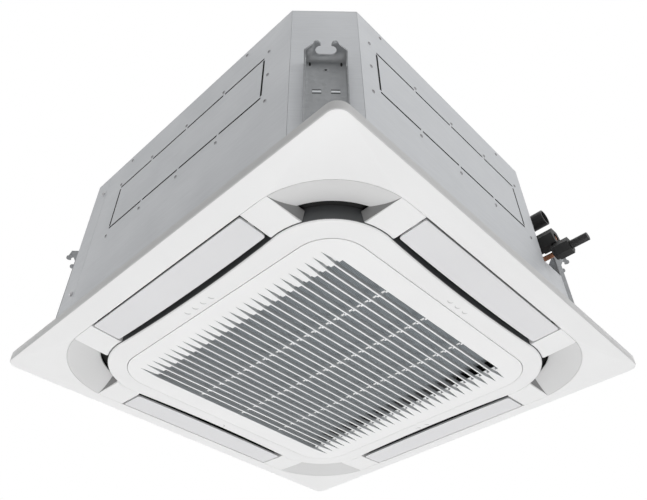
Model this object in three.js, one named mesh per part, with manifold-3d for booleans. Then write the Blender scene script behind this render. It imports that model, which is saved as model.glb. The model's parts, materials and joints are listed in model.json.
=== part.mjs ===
// Ceiling cassette air conditioner, compact size, drawn in millimetres with +Z up.
// The origin is the middle of the casing on the ceiling plane: the casing stands above it,
// and the trim panel hangs below it. The front is -Y, where the refrigerant pipes leave.
import * as THREE from 'three';
import { mergeVertices } from 'three/addons/utils/BufferGeometryUtils.js';
import Module from 'manifold-3d';

const wasm = await Module();
wasm.setup();

// ---------------------------------------------------------------- driving dimensions
const clearance = 0.3; // between pieces that touch

// casing
const casingSide = 575;
const casingHeight = 300;
const cornerCut = 60; // leg of the 45 degree corner cut
const sheet = 1.2;
const cornerWing = 35; // how far a winged corner plate laps onto each side
const sideFlange = 14; // turned in at the bottom of each side
const knockoutLength = 322;
const knockoutHeight = 86;
const knockoutMiddle = 195; // above the ceiling
const knockoutSlot = 2;
const knockoutTie = 4;
const knockoutTies = 3; // in each long slot

// stepped-back corner that the pipes come out of
const bayStart = 162;
const bayDepth = 40;
const bayFloor = 128; // above the ceiling
const lowerStep = 8; // how far the plate below the pipes is set back

// hangers
const hangerWidth = 51;
const hangerSheet = 2.5;
const hangerFlange = 6;
const hangerHeight = 173; // underside of the hook plate
const hookReach = 30;
const hookShoulder = 18;
const hookTip = 15; // half the width of the hook at its tip
const hookSlotWidth = 25;
const hookSlotDepth = 12;
const hookSlotStart = 12;
const hookMouth = 12.6;
const hangerBoltRadius = 3;
const hangerBoltDrop = 17; // below the hook plate
const lanceDrop = 60; // below the hook plate
const lanceSpread = 10.6;
const lanceLength = 10.4;
const lanceSlit = 1.8;
const lanceRise = 6.2;

// foam, drain pan and coil
const linerWall = 16;
const linerRoof = 16;
const linerFit = 4; // from the casing's face to the foam
const fanWell = 100; // radius of the hole in the foam roof
const panHeight = 46;
const intakeHalf = 190;
const intakeRadius = 50;
const pumpCorner = 283; // x minus y where the pan is left solid for the pump
const coilOuter = 225;
const coilThickness = 26;
const coilRadius = 60;
const coilCut = 140; // the coil stops here at the pipe corner
const troughDepth = 14;
const troughPlay = 3;
const troughWall = 5;
const outletLength = 360;

// fan and motor
const fanRadius = 165;
const fanFoot = 76;
const fanEye = 114;
const fanSkin = 3;
const shroudRise = 34;
const bladeCount = 8;
const bladeRoot = 92;
const bladeThickness = 5;
const hubRadius = 18;
const hubDrop = 16;
const shaftRadius = 6;
const shaftReach = 31; // below the fan's top
const fanNutRadius = 14;
const fanNutHeight = 9;
const motorRadius = 62;
const motorHeight = 56;
const motorDrop = 20.5; // from the roof
const motorToFan = 21;
const motorSeat = 25; // depth of the bearing bore
const mountRadius = 76;
const mountSheet = 4;
const mountLegRadius = 8;
const mountLegCircle = 62;

// bell mouth and control box
const bellHalf = 194;
const bellRadius = 53;
const bellSheet = 2;
const bellLap = 5; // how far it laps onto the pan at the pump corner
const bellEdge = 140;
const bellThroat = 108;
const bellRise = 38;
const boxLength = 300;
const boxWidth = 42;
const boxHeight = 34;
const boxWall = 1.5;
const boxOffset = 143; // from the fan's axis to the nearer long wall
const boardThickness = 1.6;
const boardHeight = 20; // above the box's mouth
const relayLength = 28;
const relayWidth = 20;
const relayHeight = 9;
const relayInset = 20; // from the board's left end
const chokeSide = 24;
const chokeHeight = 10;
const chokeOffset = 32; // from the board's middle

// pipes
const pipeX = 193;
const liquidZ = 138;
const gasZ = 164;
const drainZ = 210;
const liquidRadius = 4.8;
const gasRadius = 6.4;
const drainRadius = 12.5;
const drainWall = 2.5;
const drainReach = 11; // past the front face
const gasNutAcross = 27;
const gasNutLength = 26;
const gasNutReach = 16; // past the front face
const liquidNutAcross = 23;
const liquidNutLength = 22;
const liquidNutStart = 12; // past the front face
const tailRadius = 6.2;
const tailReach = 61; // past the front face
const headerRadius = 8;
const headerFoot = 62;
const headerTop = 184;
const feederRadius = 3;
const feederCount = 5;
const gasHeaderX = 170;
const liquidHeaderY = -178;
const liquidHeaderRadius = 5;

// drain pump and float
const pumpX = 163;
const pumpY = -162;
const pumpRadius = 21;
const pumpTop = 150;
const floatX = 178;
const floatY = -192;
const floatRadius = 9;
const floatHeight = 12;
const floatTravel = 12;
const floatRod = 2.5;

// trim panel, drawn about its own middle
const trimShiftX = 3; // the panel's slotted holes let it be squared up to the ceiling
const trimShiftY = -8;
const panelSide = 620;
const panelRadius = 16;
const rimEdge = 12; // thickness at the outside edge
const rimInner = 280.3;
const rimInnerRadius = 112;
const rimDrop = 18; // below the ceiling at the inner edge
const landWidth = 12; // of the strip round the rim's edge that bears on the ceiling
const landRadius = 20;
const landStep = 0.5;

// corner covers with the scooped outlets
const bridgeStart = 141.3; // where each louvre slot ends
const bridgeDrop = 20.5; // below the ceiling beside the ring
const coverDrop = 7.3; // from the ceiling to the covers' upper faces
const scoopStart = 182;
const scoopCentre = 150; // centre of the outlet's arcs, from the panel's middle lines
const scoopLip = 98; // radius of the outlet's outer edge
const scoopLipSheet = 0.9;

// ring around the grille
const ringHalf = 234;
const ringRadius = 84;
const ringBow = 5;
const ringInner = 205.7;
const ringInnerRadius = 50.8;
const ringOuterDrop = 21.2;
const ringInnerDrop = 22.8;

// intake grille and filter
const grilleHalf = 204.9;
const grilleRadius = 50;
const grilleDrop = 23.2;
const grilleThickness = 5.3;
const slatPitch = 13;
const slatWidth = 2.4;
const slatGaps = 27;
const slatRunHalf = 183.4; // to the pointed end of each slit
const slatOpenHalf = 156.9;
const slitWidth = 6.1; // the blind part of each gap, along its back edge
const slitDepth = 4.2;
const slitTipOffset = 3; // of the pointed end from the gap's back edge
const ribCount = 3;
const ribPitch = 76.5;
const ribWidth = 3;
const lipHalfX = 190;
const lipHalfY = 180;
const lipWall = 4;
const lipTop = 4.3; // below the ceiling
const filterHalfX = 160;
const filterHalfY = 179;
const filterFrame = 3;
const filterBorder = 8;
const filterMesh = 1;
const latchX = 90;
const latchLength = 26;
const latchWidth = 10;
const latchHeight = 5.5;
const latchTravel = 4;
const latchBack = 2.2; // from the ring's inner face at rest

// louvre vanes
const vaneOuter = 279.2;
const vaneInner = 240.2;
const vaneHalf = 139.6;
const vaneCorner = 4;
const vaneBow = 2.4; // of the inner edge, towards the ring at its middle
const vaneThickness = 2.4;
const vaneOuterDrop = 18.3;
const vaneInnerDrop = 20.3;
const vanePivotX = 262;
const vanePivotDrop = 13.6;
const vanePinRadius = 1.8;
const vanePinLength = 2.8;
const vaneEar = 2;
const vaneEarHalf = 4;
const motorWall = 3; // of the cover between the slot and the vane motor
const vaneMotorLength = 18;
const vaneMotorHalf = 9;
const vaneMotorHeight = 8.6;

// ---------------------------------------------------------------- worked-out places
const casingHalf = casingSide / 2;
const cutEnd = casingHalf - cornerCut; // where a side meets its corner cut
const sideFoot = clearance - landStep;
const sideTop = casingHeight - sheet - clearance;
const bayWall = -casingHalf + bayDepth;
const coilInner = coilOuter - coilThickness;
const panFoot = sideFoot + sheet + clearance;
const roofZ = casingHeight - sheet - clearance;
const coilFoot = panFoot + panHeight - troughDepth + clearance;
const coilTop = roofZ - linerRoof - clearance;
const motorTop = roofZ - motorDrop;
const motorFoot = motorTop - motorHeight;
const fanTop = motorFoot - motorToFan;
const shaftFoot = fanTop - shaftReach;
const hookPlateTop = hangerHeight + hangerSheet;
const grilleFace = -grilleDrop;
const grilleBack = grilleFace + grilleThickness;

// ---------------------------------------------------------------- colours
function paint(color, roughness, metalness = 0) {
  return new THREE.MeshStandardMaterial({ color, roughness, metalness });
}
const casingPaint = paint(0xb9bcc0, 0.55, 0.2);
const galvanised = paint(0x84898d, 0.45, 0.7);
const whitePlastic = paint(0xebebec, 0.45);
const vanePlastic = paint(0xdcdcdf, 0.45);
const slatPlastic = paint(0xf1f1f2, 0.45);
const filterGrey = paint(0x7b858b, 0.85);
const foamWhite = paint(0xe6e8ea, 0.9);
const finAluminium = paint(0xb7bec4, 0.4, 0.8);
const copper = paint(0xb5714a, 0.35, 0.9);
const blackPlastic = paint(0x1d1f21, 0.6);
const fanPlastic = paint(0x3c4043, 0.55);
const steel = paint(0x9aa0a4, 0.35, 0.8);
const boardGreen = paint(0x2f6b46, 0.6);

// ---------------------------------------------------------------- shape helpers
function closed(geometry) {
  const plain = geometry.clone();
  plain.deleteAttribute('normal');
  plain.deleteAttribute('uv');
  return mergeVertices(plain, 1e-4);
}

function solidOf(geometry) {
  const merged = closed(geometry);
  const corners = merged.index.array;
  const kept = [];
  for (let i = 0; i < corners.length; i += 3) {
    const [a, b, c] = [corners[i], corners[i + 1], corners[i + 2]];
    if (a !== b && b !== c && c !== a) kept.push(a, b, c);
  }
  const vertProperties = new Float32Array(merged.attributes.position.array);
  const triVerts = new Uint32Array(kept);
  return new wasm.Manifold(new wasm.Mesh({ numProp: 3, vertProperties, triVerts }));
}

function geometryOf(solid) {
  const mesh = solid.getMesh();
  const geometry = new THREE.BufferGeometry();
  geometry.setAttribute('position', new THREE.BufferAttribute(mesh.vertProperties, 3));
  geometry.setIndex(new THREE.BufferAttribute(mesh.triVerts, 1));
  geometry.computeVertexNormals();
  return geometry;
}

function join(...geometries) {
  return geometryOf(geometries.map(solidOf).reduce((whole, next) => whole.add(next)));
}

function cut(geometry, ...cutters) {
  const tool = cutters.map(solidOf).reduce((whole, next) => whole.add(next));
  return geometryOf(solidOf(geometry).subtract(tool));
}

function common(geometry, other) {
  return geometryOf(solidOf(geometry).intersect(solidOf(other)));
}

function outline(points) {
  return new THREE.Shape(points.map(([x, y]) => new THREE.Vector2(x, y)));
}

function prism(points, low, high, holes = []) {
  const shape = outline(points);
  for (const hole of holes) shape.holes.push(outline(hole));
  const settings = { depth: high - low, bevelEnabled: false };
  return new THREE.ExtrudeGeometry(shape, settings).translate(0, 0, low);
}

function block(x0, x1, y0, y1, z0, z1) {
  const box = new THREE.BoxGeometry(x1 - x0, y1 - y0, z1 - z0);
  return box.translate((x0 + x1) / 2, (y0 + y1) / 2, (z0 + z1) / 2);
}

function upright(radius, low, high, sides = 24, x = 0, y = 0) {
  const rod = new THREE.CylinderGeometry(radius, radius, high - low, sides);
  return rod.rotateX(Math.PI / 2).translate(x, y, (low + high) / 2);
}

function rodAlongX(radius, x0, x1, y, z, sides = 16) {
  const rod = new THREE.CylinderGeometry(radius, radius, x1 - x0, sides);
  return rod.rotateZ(Math.PI / 2).translate((x0 + x1) / 2, y, z);
}

function rodAlongY(radius, y0, y1, x, z, sides = 20) {
  const rod = new THREE.CylinderGeometry(radius, radius, y1 - y0, sides);
  return rod.translate(x, (y0 + y1) / 2, z);
}

function turned(profile, sides) {
  const points = profile.map(([radius, height]) => new THREE.Vector2(radius, height));
  return new THREE.LatheGeometry(points, sides).rotateX(Math.PI / 2);
}

function bentTube(points, radius, sides = 12, steps = 24) {
  const path = new THREE.CatmullRomCurve3(points.map((p) => new THREE.Vector3(...p)));
  const ring = new THREE.Shape();
  ring.absarc(0, 0, radius, 0, Math.PI * 2);
  const section = new THREE.Shape(ring.getPoints(sides).slice(0, sides));
  return new THREE.ExtrudeGeometry(section, { steps, extrudePath: path, bevelEnabled: false });
}

// A square with round corners, counter-clockwise. A bow draws the middle of each side inwards.
function roundedSquare(half, radius, { steps = 6, bow = 0, bowHalf = half - radius } = {}) {
  const quarter = [];
  const centre = half - radius;
  for (let i = 0; i <= steps; i += 1) {
    const angle = (i / steps) * (Math.PI / 2);
    quarter.push([centre + radius * Math.cos(angle), centre + radius * Math.sin(angle)]);
  }
  if (bow > 0) {
    for (let i = 0; i <= 2 * steps; i += 1) {
      const along = bowHalf * (1 - i / steps);
      const inwards = bow * (1 - (along / bowHalf) ** 2);
      quarter.push([along, half - inwards]);
    }
  }
  const loop = [];
  for (let turn = 0; turn < 4; turn += 1) {
    const [c, s] = [[1, 0], [0, 1], [-1, 0], [0, -1]][turn];
    for (const [x, y] of quarter) loop.push([x * c - y * s, x * s + y * c]);
  }
  return loop;
}

// A closed ring whose cross-section passes through the given loops in turn.
function ringThrough(loops) {
  const count = loops[0].points.length;
  const positions = loops.flatMap(({ points, z }) => points.flatMap(([x, y]) => [x, y, z]));
  const index = [];
  for (let level = 0; level < loops.length; level += 1) {
    const next = (level + 1) % loops.length;
    for (let i = 0; i < count; i += 1) {
      const j = (i + 1) % count;
      const [a, b] = [level * count + i, level * count + j];
      const [c, d] = [next * count + i, next * count + j];
      index.push(a, b, c, b, d, c);
    }
  }
  const geometry = new THREE.BufferGeometry();
  geometry.setAttribute('position', new THREE.Float32BufferAttribute(positions, 3));
  geometry.setIndex(index);
  return geometry;
}

// A block whose upper side passes through a grid of points, standing on a flat floor.
function groundedBlock(grid, floor) {
  const rows = grid.length;
  const columns = grid[0].length;
  const upper = grid.flat();
  const lower = upper.map(([x, y]) => [x, y, floor]);
  const positions = [...upper, ...lower].flat();
  const at = (row, column, side) => side * rows * columns + row * columns + column;
  const index = [];
  const quad = (a, b, c, d) => index.push(a, c, b, a, d, c);
  for (let r = 0; r < rows - 1; r += 1) {
    for (let c = 0; c < columns - 1; c += 1) {
      quad(at(r, c, 0), at(r + 1, c, 0), at(r + 1, c + 1, 0), at(r, c + 1, 0));
      quad(at(r, c, 1), at(r, c + 1, 1), at(r + 1, c + 1, 1), at(r + 1, c, 1));
    }
  }
  for (let r = 0; r < rows - 1; r += 1) {
    quad(at(r, 0, 0), at(r, 0, 1), at(r + 1, 0, 1), at(r + 1, 0, 0));
    quad(at(r + 1, columns - 1, 0), at(r + 1, columns - 1, 1),
      at(r, columns - 1, 1), at(r, columns - 1, 0));
  }
  for (let c = 0; c < columns - 1; c += 1) {
    quad(at(0, c + 1, 0), at(0, c + 1, 1), at(0, c, 1), at(0, c, 0));
    quad(at(rows - 1, c, 0), at(rows - 1, c, 1), at(rows - 1, c + 1, 1), at(rows - 1, c + 1, 0));
  }
  const geometry = new THREE.BufferGeometry();
  geometry.setAttribute('position', new THREE.Float32BufferAttribute(positions, 3));
  geometry.setIndex(index);
  return geometry;
}

// Moves the edges of a path to their left by a distance, with mitred corners.
function offsetPath(points, distance, loops = false) {
  const count = points.length;
  const normal = (i) => {
    const [ax, ay] = points[(i + count) % count];
    const [bx, by] = points[(i + 1 + count) % count];
    const length = Math.hypot(bx - ax, by - ay);
    return [-(by - ay) / length, (bx - ax) / length];
  };
  return points.map(([x, y], i) => {
    const first = !loops && i === 0;
    const last = !loops && i === count - 1;
    const before = normal(first ? i : i - 1);
    const after = normal(last ? i - 1 : i);
    const spread = 1 + before[0] * after[0] + before[1] * after[1];
    const shiftX = ((before[0] + after[0]) * distance) / spread;
    const shiftY = ((before[1] + after[1]) * distance) / spread;
    return [x + shiftX, y + shiftY];
  });
}

function foldedSheet(path, thickness, low, high) {
  const back = offsetPath(path, thickness).reverse();
  return prism([...path, ...back], low, high);
}

function arc(centreX, centreY, radius, from, to, steps) {
  const points = [];
  for (let i = 0; i <= steps; i += 1) {
    const angle = from + ((to - from) * i) / steps;
    points.push([centreX + radius * Math.cos(angle), centreY + radius * Math.sin(angle)]);
  }
  return points;
}

// ---------------------------------------------------------------- the tree of pieces
const cassette = new THREE.Group();
const casing = new THREE.Group();
const trim = new THREE.Group();
trim.position.set(trimShiftX, trimShiftY, 0);
cassette.add(casing, trim);

function add(parent, name, geometry, material, turn = 0) {
  const piece = new THREE.Mesh(geometry, material);
  piece.name = name;
  piece.rotation.z = turn;
  parent.add(piece);
  return piece;
}

// Corners in counter-clockwise order from the front left, each a quarter turn on.
const cornerNames = ['front_left', 'front_right', 'back_right', 'back_left'];
const quarterTurn = Math.PI / 2;

// ---------------------------------------------------------------- casing
function casingOutline(inset) {
  const points = [
    [-casingHalf, -cutEnd],
    [-cutEnd, -casingHalf],
    [bayStart, -casingHalf],
    [bayStart, bayWall],
    [casingHalf - cornerCut + bayDepth, bayWall],
    [casingHalf, -cutEnd],
    [casingHalf, cutEnd],
    [cutEnd, casingHalf],
    [-cutEnd, casingHalf],
    [-casingHalf, cutEnd],
  ];
  return inset > 0 ? offsetPath(points, inset, true) : points;
}

// One side, drawn as the front one: outside towards -Y, from left to right along X.
function casingSidePanel(left, right) {
  const face = -casingHalf;
  const skin = block(left, right, face, face + sheet, sideFoot, sideTop);
  const inner = cornerWing / 2;
  const flange = block(left + inner, right - inner, face, face + sideFlange,
    sideFoot, sideFoot + sheet);
  return cut(join(skin, flange), ...knockoutSlots((left + right) / 2));
}

function knockoutSlots(middle) {
  const through = [-casingHalf - sheet, -casingHalf + 2 * sheet];
  const start = middle - knockoutLength / 2;
  const dash = (knockoutLength - knockoutTies * knockoutTie) / (knockoutTies + 1);
  const low = knockoutMiddle - knockoutHeight / 2;
  const high = knockoutMiddle + knockoutHeight / 2;
  const slots = [];
  for (let i = 0; i <= knockoutTies; i += 1) {
    const from = start + i * (dash + knockoutTie);
    for (const level of [low, high]) {
      slots.push(block(from, from + dash, ...through,
        level - knockoutSlot / 2, level + knockoutSlot / 2));
    }
  }
  for (const end of [start, start + knockoutLength]) {
    slots.push(block(end - knockoutSlot / 2, end + knockoutSlot / 2, ...through,
      low + knockoutTie, high - knockoutTie));
  }
  return slots;
}

// A flat plate that lies flush between two sides, with both ends mitred.
function plainCornerPlate() {
  const outside = clearance * Math.SQRT2;
  const inside = outside + sheet;
  const along = (distance, depth) => [
    -casingHalf + (distance + depth) / Math.SQRT2,
    -cutEnd - (distance - depth) / Math.SQRT2,
  ];
  const width = cornerCut * Math.SQRT2;
  return prism([along(outside, 0), along(width - outside, 0), along(width - inside, sheet),
    along(inside, sheet)], sideFoot, sideTop);
}

function wingedCornerPlate() {
  const end = -cutEnd + cornerWing - clearance;
  return foldedSheet([[-casingHalf, end], [-casingHalf, -cutEnd], [-cutEnd, -casingHalf],
    [end, -casingHalf]], sheet, sideFoot, sideTop);
}

// The corner that the pipes leave by: set back above, and nearly full size below.
function pipeCornerPlate() {
  const wingEnd = -cutEnd + cornerWing - clearance;
  const lowFace = -casingHalf + lowerStep;
  const start = bayStart + clearance;
  const cutLine = casingHalf + cutEnd; // x minus y along the corner cut
  const lower = foldedSheet([[start, lowFace], [cutLine + lowFace, lowFace],
    [casingHalf, -cutEnd], [casingHalf, wingEnd]], sheet, sideFoot, bayFloor);
  const upper = foldedSheet([[start, -casingHalf + sheet + clearance], [start, bayWall],
    [cutLine + bayWall, bayWall], [casingHalf, -cutEnd], [casingHalf, wingEnd]],
  sheet, bayFloor - sheet, sideTop);
  const shelf = prism([[start, lowFace], [cutLine + lowFace, lowFace],
    [cutLine + bayWall + sheet, bayWall + sheet], [start, bayWall + sheet]],
  bayFloor - sheet, bayFloor);
  return cut(join(lower, upper, shelf), ...pipeHoles(bayWall - sheet, bayWall + 2 * sheet));
}

function pipeHoles(from, to) {
  return [
    rodAlongY(liquidRadius + clearance, from, to, pipeX, liquidZ),
    rodAlongY(gasRadius + clearance, from, to, pipeX, gasZ),
    rodAlongY(drainRadius + clearance, from, to, pipeX, drainZ),
  ];
}

add(casing, 'top_plate', prism(casingOutline(0), casingHeight - sheet, casingHeight), casingPaint);
const wingStart = cutEnd - cornerWing;
add(casing, 'side_front', casingSidePanel(-cutEnd, bayStart), casingPaint);
add(casing, 'side_right', casingSidePanel(-wingStart, wingStart), casingPaint, quarterTurn);
add(casing, 'side_back', casingSidePanel(-wingStart, wingStart), casingPaint, 2 * quarterTurn);
add(casing, 'side_left', casingSidePanel(-wingStart, cutEnd), casingPaint, -quarterTurn);
add(casing, 'corner_plate_front_left', plainCornerPlate(), casingPaint);
add(casing, 'corner_plate_front_right', pipeCornerPlate(), casingPaint);
add(casing, 'corner_plate_back_right', wingedCornerPlate(), casingPaint, 2 * quarterTurn);
add(casing, 'corner_plate_back_left', wingedCornerPlate(), casingPaint, 3 * quarterTurn);

// ---------------------------------------------------------------- hangers
// Drawn with its back on the plane y = 0 and its hook towards -Y.
function hookPlate() {
  const half = hangerWidth / 2;
  const slotHalf = hookSlotWidth / 2;
  const mouthHalf = hookMouth / 2;
  const slotEnd = hookSlotStart + hookSlotDepth;
  const bend = hookSlotDepth / 2;
  const fingerTip = (hookTip - mouthHalf) / 2;
  const fingerMiddle = mouthHalf + fingerTip;
  const rightSide = [
    [half, 0],
    [half, -hookShoulder],
    ...arc(fingerMiddle, -hookReach + fingerTip, fingerTip, 0, -Math.PI, 6),
    [mouthHalf, -slotEnd],
    ...arc(slotHalf - bend, -hookSlotStart - bend, bend, -Math.PI / 2, Math.PI / 2, 8),
  ];
  const leftSide = rightSide.map(([x, y]) => [-x, y]).reverse();
  return prism([...rightSide, ...leftSide].reverse(), hangerHeight, hookPlateTop);
}

function hangerFlangeSide(x0, x1) {
  const profile = [
    [0, sideFoot],
    [hangerSheet + hangerFlange, sideFoot],
    [hangerSheet + hangerFlange, hangerHeight - hookShoulder],
    [hookShoulder, hangerHeight],
    [0, hangerHeight],
  ];
  const side = prism(profile.map(([out, z]) => [-out, z]), x0, x1);
  return side.rotateX(Math.PI / 2).rotateZ(Math.PI / 2);
}

function hanger() {
  const half = hangerWidth / 2;
  const web = block(-half, half, -hangerSheet, 0, sideFoot, hookPlateTop);
  const whole = join(web, hookPlate(), hangerFlangeSide(-half, -half + hangerSheet),
    hangerFlangeSide(half - hangerSheet, half));
  const boltZ = hangerHeight - hangerBoltDrop;
  const cutters = [rodAlongY(hangerBoltRadius, -2 * hangerSheet, hangerSheet, 0, boltZ, 12)];
  for (const x of [-lanceSpread, lanceSpread]) {
    for (const z of [-lanceRise / 2, lanceRise / 2]) {
      const level = hangerHeight - lanceDrop + z;
      cutters.push(block(x - lanceLength / 2, x + lanceLength / 2, -2 * hangerSheet, hangerSheet,
        level - lanceSlit / 2, level + lanceSlit / 2));
    }
  }
  return cut(whole, ...cutters);
}

cornerNames.forEach((corner, i) => {
  const piece = add(casing, `hanger_${corner}`, hanger(), galvanised);
  const turn = (i - 0.5) * quarterTurn;
  const away = (casingHalf + cutEnd) / Math.SQRT2 + clearance;
  piece.rotation.z = turn;
  piece.position.set(away * Math.sin(turn), -away * Math.cos(turn), 0);
});

// ---------------------------------------------------------------- foam, pan and coil
function foamLiner() {
  const outer = casingOutline(linerFit);
  const inner = casingOutline(linerFit + linerWall);
  const foot = panFoot + panHeight + clearance;
  const shell = prism(outer, foot, roofZ);
  const hollow = prism(inner, foot - linerWall, roofZ - linerRoof);
  const well = upright(fanWell, roofZ - 2 * linerRoof, roofZ + linerRoof, 32);
  const start = bayWall - linerWall;
  return cut(shell, hollow, well, ...pipeHoles(start, bayWall + linerFit + 2 * linerWall));
}

// All that lies beyond a line across the pipe corner, given as x minus y.
function beyondPipeCorner(limit) {
  const reach = 2 * casingHalf;
  return block(limit / Math.SQRT2, reach, -reach, reach, -reach, reach).rotateZ(-Math.PI / 4);
}

function drainPan() {
  const top = panFoot + panHeight;
  const body = prism(casingOutline(linerFit), panFoot, top);
  const through = [panFoot - panHeight, top + panHeight];
  const square = prism(roundedSquare(intakeHalf, intakeRadius), ...through);
  const intake = cut(square, beyondPipeCorner(pumpCorner));
  const troughOut = coilOuter + troughPlay;
  const troughIn = coilInner - troughPlay;
  const trough = prism(
    roundedSquare(troughOut, coilRadius + troughPlay), top - troughDepth, top + troughDepth,
    [roundedSquare(troughIn, coilRadius - coilThickness - troughPlay)],
  );
  const cutters = [intake, trough];
  const inner = troughOut + troughWall;
  const outer = casingHalf - linerFit - linerWall;
  for (let turn = 0; turn < 4; turn += 1) {
    const side = block(inner, outer, -outletLength / 2, outletLength / 2, ...through);
    cutters.push(side.rotateZ(turn * quarterTurn));
  }
  return cut(body, ...cutters);
}

function coilBlock() {
  const ring = prism(roundedSquare(coilOuter, coilRadius), coilFoot, coilTop,
    [roundedSquare(coilInner, coilRadius - coilThickness)]);
  const reach = 2 * coilOuter;
  return cut(ring, block(coilCut, reach, -reach, -coilCut, coilFoot - 1, coilTop + 1));
}

add(casing, 'foam_liner', foamLiner(), foamWhite);
add(casing, 'drain_pan', drainPan(), foamWhite);
add(casing, 'coil', coilBlock(), finAluminium);

// ---------------------------------------------------------------- pipes
const coilMiddle = (coilOuter + coilInner) / 2;

function feederLevels() {
  const step = (headerTop - headerFoot) / feederCount;
  return Array.from({ length: feederCount }, (_, i) => headerFoot + step * (i + 0.5));
}

function gasHeader() {
  const feeders = feederLevels().map((z) => rodAlongX(feederRadius, coilCut + clearance,
    gasHeaderX, -coilMiddle, z, 8));
  const header = upright(headerRadius, headerFoot, headerTop, 16, gasHeaderX, -coilMiddle);
  return join(header, ...feeders);
}

function liquidHeader() {
  const feeders = feederLevels().map((z) => rodAlongY(feederRadius, liquidHeaderY,
    -coilCut - clearance, coilMiddle, z, 8));
  return join(upright(liquidHeaderRadius, headerFoot, headerTop, 12, coilMiddle, liquidHeaderY),
    ...feeders);
}

function liquidPipe() {
  const start = liquidHeaderY - liquidHeaderRadius - clearance;
  const end = -casingHalf - liquidNutStart + clearance;
  return bentTube([
    [coilMiddle, start, liquidZ],
    [coilMiddle - 4, start - 12, liquidZ],
    [pipeX + 4, start - 26, liquidZ],
    [pipeX, start - 38, liquidZ],
    [pipeX, (start + end) / 2, liquidZ],
    [pipeX, end, liquidZ],
  ], liquidRadius, 12, 28);
}

function hexNut(across, start, length, bore, z) {
  const radius = across / Math.sqrt(3);
  const hexagon = new THREE.CylinderGeometry(radius, radius, length, 6).rotateY(Math.PI / 6);
  const body = hexagon.translate(pipeX, start - length / 2, z);
  const collar = rodAlongY(across / 2, start - 2 * length / 5, start + length / 5, pipeX, z, 20);
  return cut(join(body, collar), rodAlongY(bore, start - length - 1, start + length, pipeX, z, 16));
}

function gasPipe() {
  const start = gasHeaderX + headerRadius + clearance;
  const end = -casingHalf - gasNutReach;
  return bentTube([
    [start, -coilMiddle, gasZ],
    [start + 4, -coilMiddle - 0.3, gasZ],
    [pipeX - 3, -coilMiddle - 4.5, gasZ],
    [pipeX - 0.4, -coilMiddle - 10.5, gasZ],
    [pipeX, -coilMiddle - 15, gasZ],
    [pipeX, -coilMiddle - 24, gasZ],
    [pipeX, (end - coilMiddle) / 2 - 12, gasZ],
    [pipeX, end, gasZ],
  ], gasRadius, 12, 36);
}

function liquidTail() {
  const start = -casingHalf - liquidNutStart - liquidNutLength - clearance;
  const end = -casingHalf - tailReach;
  return rodAlongY(tailRadius, end, start, pipeX, liquidZ, 16);
}

function drainOutlet() {
  const end = -casingHalf - drainReach;
  const inside = bayWall + linerFit + linerWall;
  const rise = [
    [pumpX, pumpY, pumpTop + clearance],
    [pumpX, pumpY, drainZ - 14],
    [pumpX + 6, pumpY - 12, drainZ],
    [pipeX, inside + 6, drainZ],
    [pipeX, inside - 10, drainZ],
  ];
  const hose = bentTube(rise, drainRadius - drainWall, 12, 26);
  const spout = rodAlongY(drainRadius, end, inside - 4, pipeX, drainZ, 20);
  const bore = rodAlongY(drainRadius - drainWall, end - 1, inside - 16, pipeX, drainZ, 16);
  return cut(join(hose, spout), bore);
}

add(casing, 'gas_header', gasHeader(), copper);
add(casing, 'liquid_header', liquidHeader(), copper);
add(casing, 'gas_pipe', gasPipe(), copper);
add(casing, 'liquid_pipe', liquidPipe(), copper);
add(casing, 'gas_nut', hexNut(gasNutAcross, -casingHalf + gasNutLength / 3, gasNutLength,
  gasRadius + clearance, gasZ), blackPlastic);
add(casing, 'liquid_nut', hexNut(liquidNutAcross, -casingHalf - liquidNutStart, liquidNutLength,
  liquidRadius + clearance, liquidZ), blackPlastic);
add(casing, 'liquid_tail', liquidTail(), blackPlastic);
add(casing, 'drain_outlet', drainOutlet(), blackPlastic);

// ---------------------------------------------------------------- drain pump
const floatRest = panFoot + panHeight + clearance;

function drainPump() {
  const seat = panFoot + panHeight + clearance;
  const body = upright(pumpRadius, seat, pumpTop, 24, pumpX, pumpY);
  const rodTop = floatRest + floatHeight + floatTravel + 8;
  const arm = block(floatX - 4, floatX + 4, floatY - 4, pumpY, rodTop, rodTop + 4);
  const rod = upright(floatRod, seat, rodTop + 1, 12, floatX, floatY);
  return join(body, arm, rod);
}

function pumpFloat() {
  const bore = floatRod + clearance;
  const low = floatRest;
  const high = floatRest + floatHeight;
  return turned([[bore, low], [floatRadius, low], [floatRadius, high], [bore, high],
    [bore, low]], 20).translate(floatX, floatY, 0);
}

add(casing, 'drain_pump', drainPump(), blackPlastic);
add(casing, 'pump_float', pumpFloat(), whitePlastic);

// ---------------------------------------------------------------- fan and motor
function fanBlade() {
  const inner = bladeRoot;
  const outer = fanRadius - 1;
  const path = [];
  const steps = 5;
  for (let i = 0; i <= steps; i += 1) {
    const share = i / steps;
    const radius = inner + (outer - inner) * share;
    const lean = 0.62 * share;
    path.push([radius * Math.cos(lean), radius * Math.sin(lean)]);
  }
  return foldedSheet(path, bladeThickness, fanFoot, fanTop - fanSkin / 2);
}

function bladeSpace() {
  const foot = fanFoot + 15; // clear of the bell mouth
  const rise = fanFoot + shroudRise;
  return turned([
    [hubRadius, foot], [fanEye + 3, foot], [fanEye + 16, fanFoot + 25],
    [fanRadius, rise + fanSkin / 2], [fanRadius, fanTop - fanSkin / 2],
    [hubRadius, fanTop - fanSkin / 2], [hubRadius, foot],
  ], 36);
}

function fanShroud() {
  const lip = [[fanEye, fanFoot], [fanEye + 2, fanFoot + 12], [fanEye + 16, fanFoot + 24],
    [fanRadius, fanFoot + shroudRise]];
  const inside = lip.map(([r, z]) => [r - fanSkin / 2, z + fanSkin]).reverse();
  return turned([...lip, [fanRadius, fanFoot + shroudRise + fanSkin], ...inside.slice(1), lip[0]],
    36);
}

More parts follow.
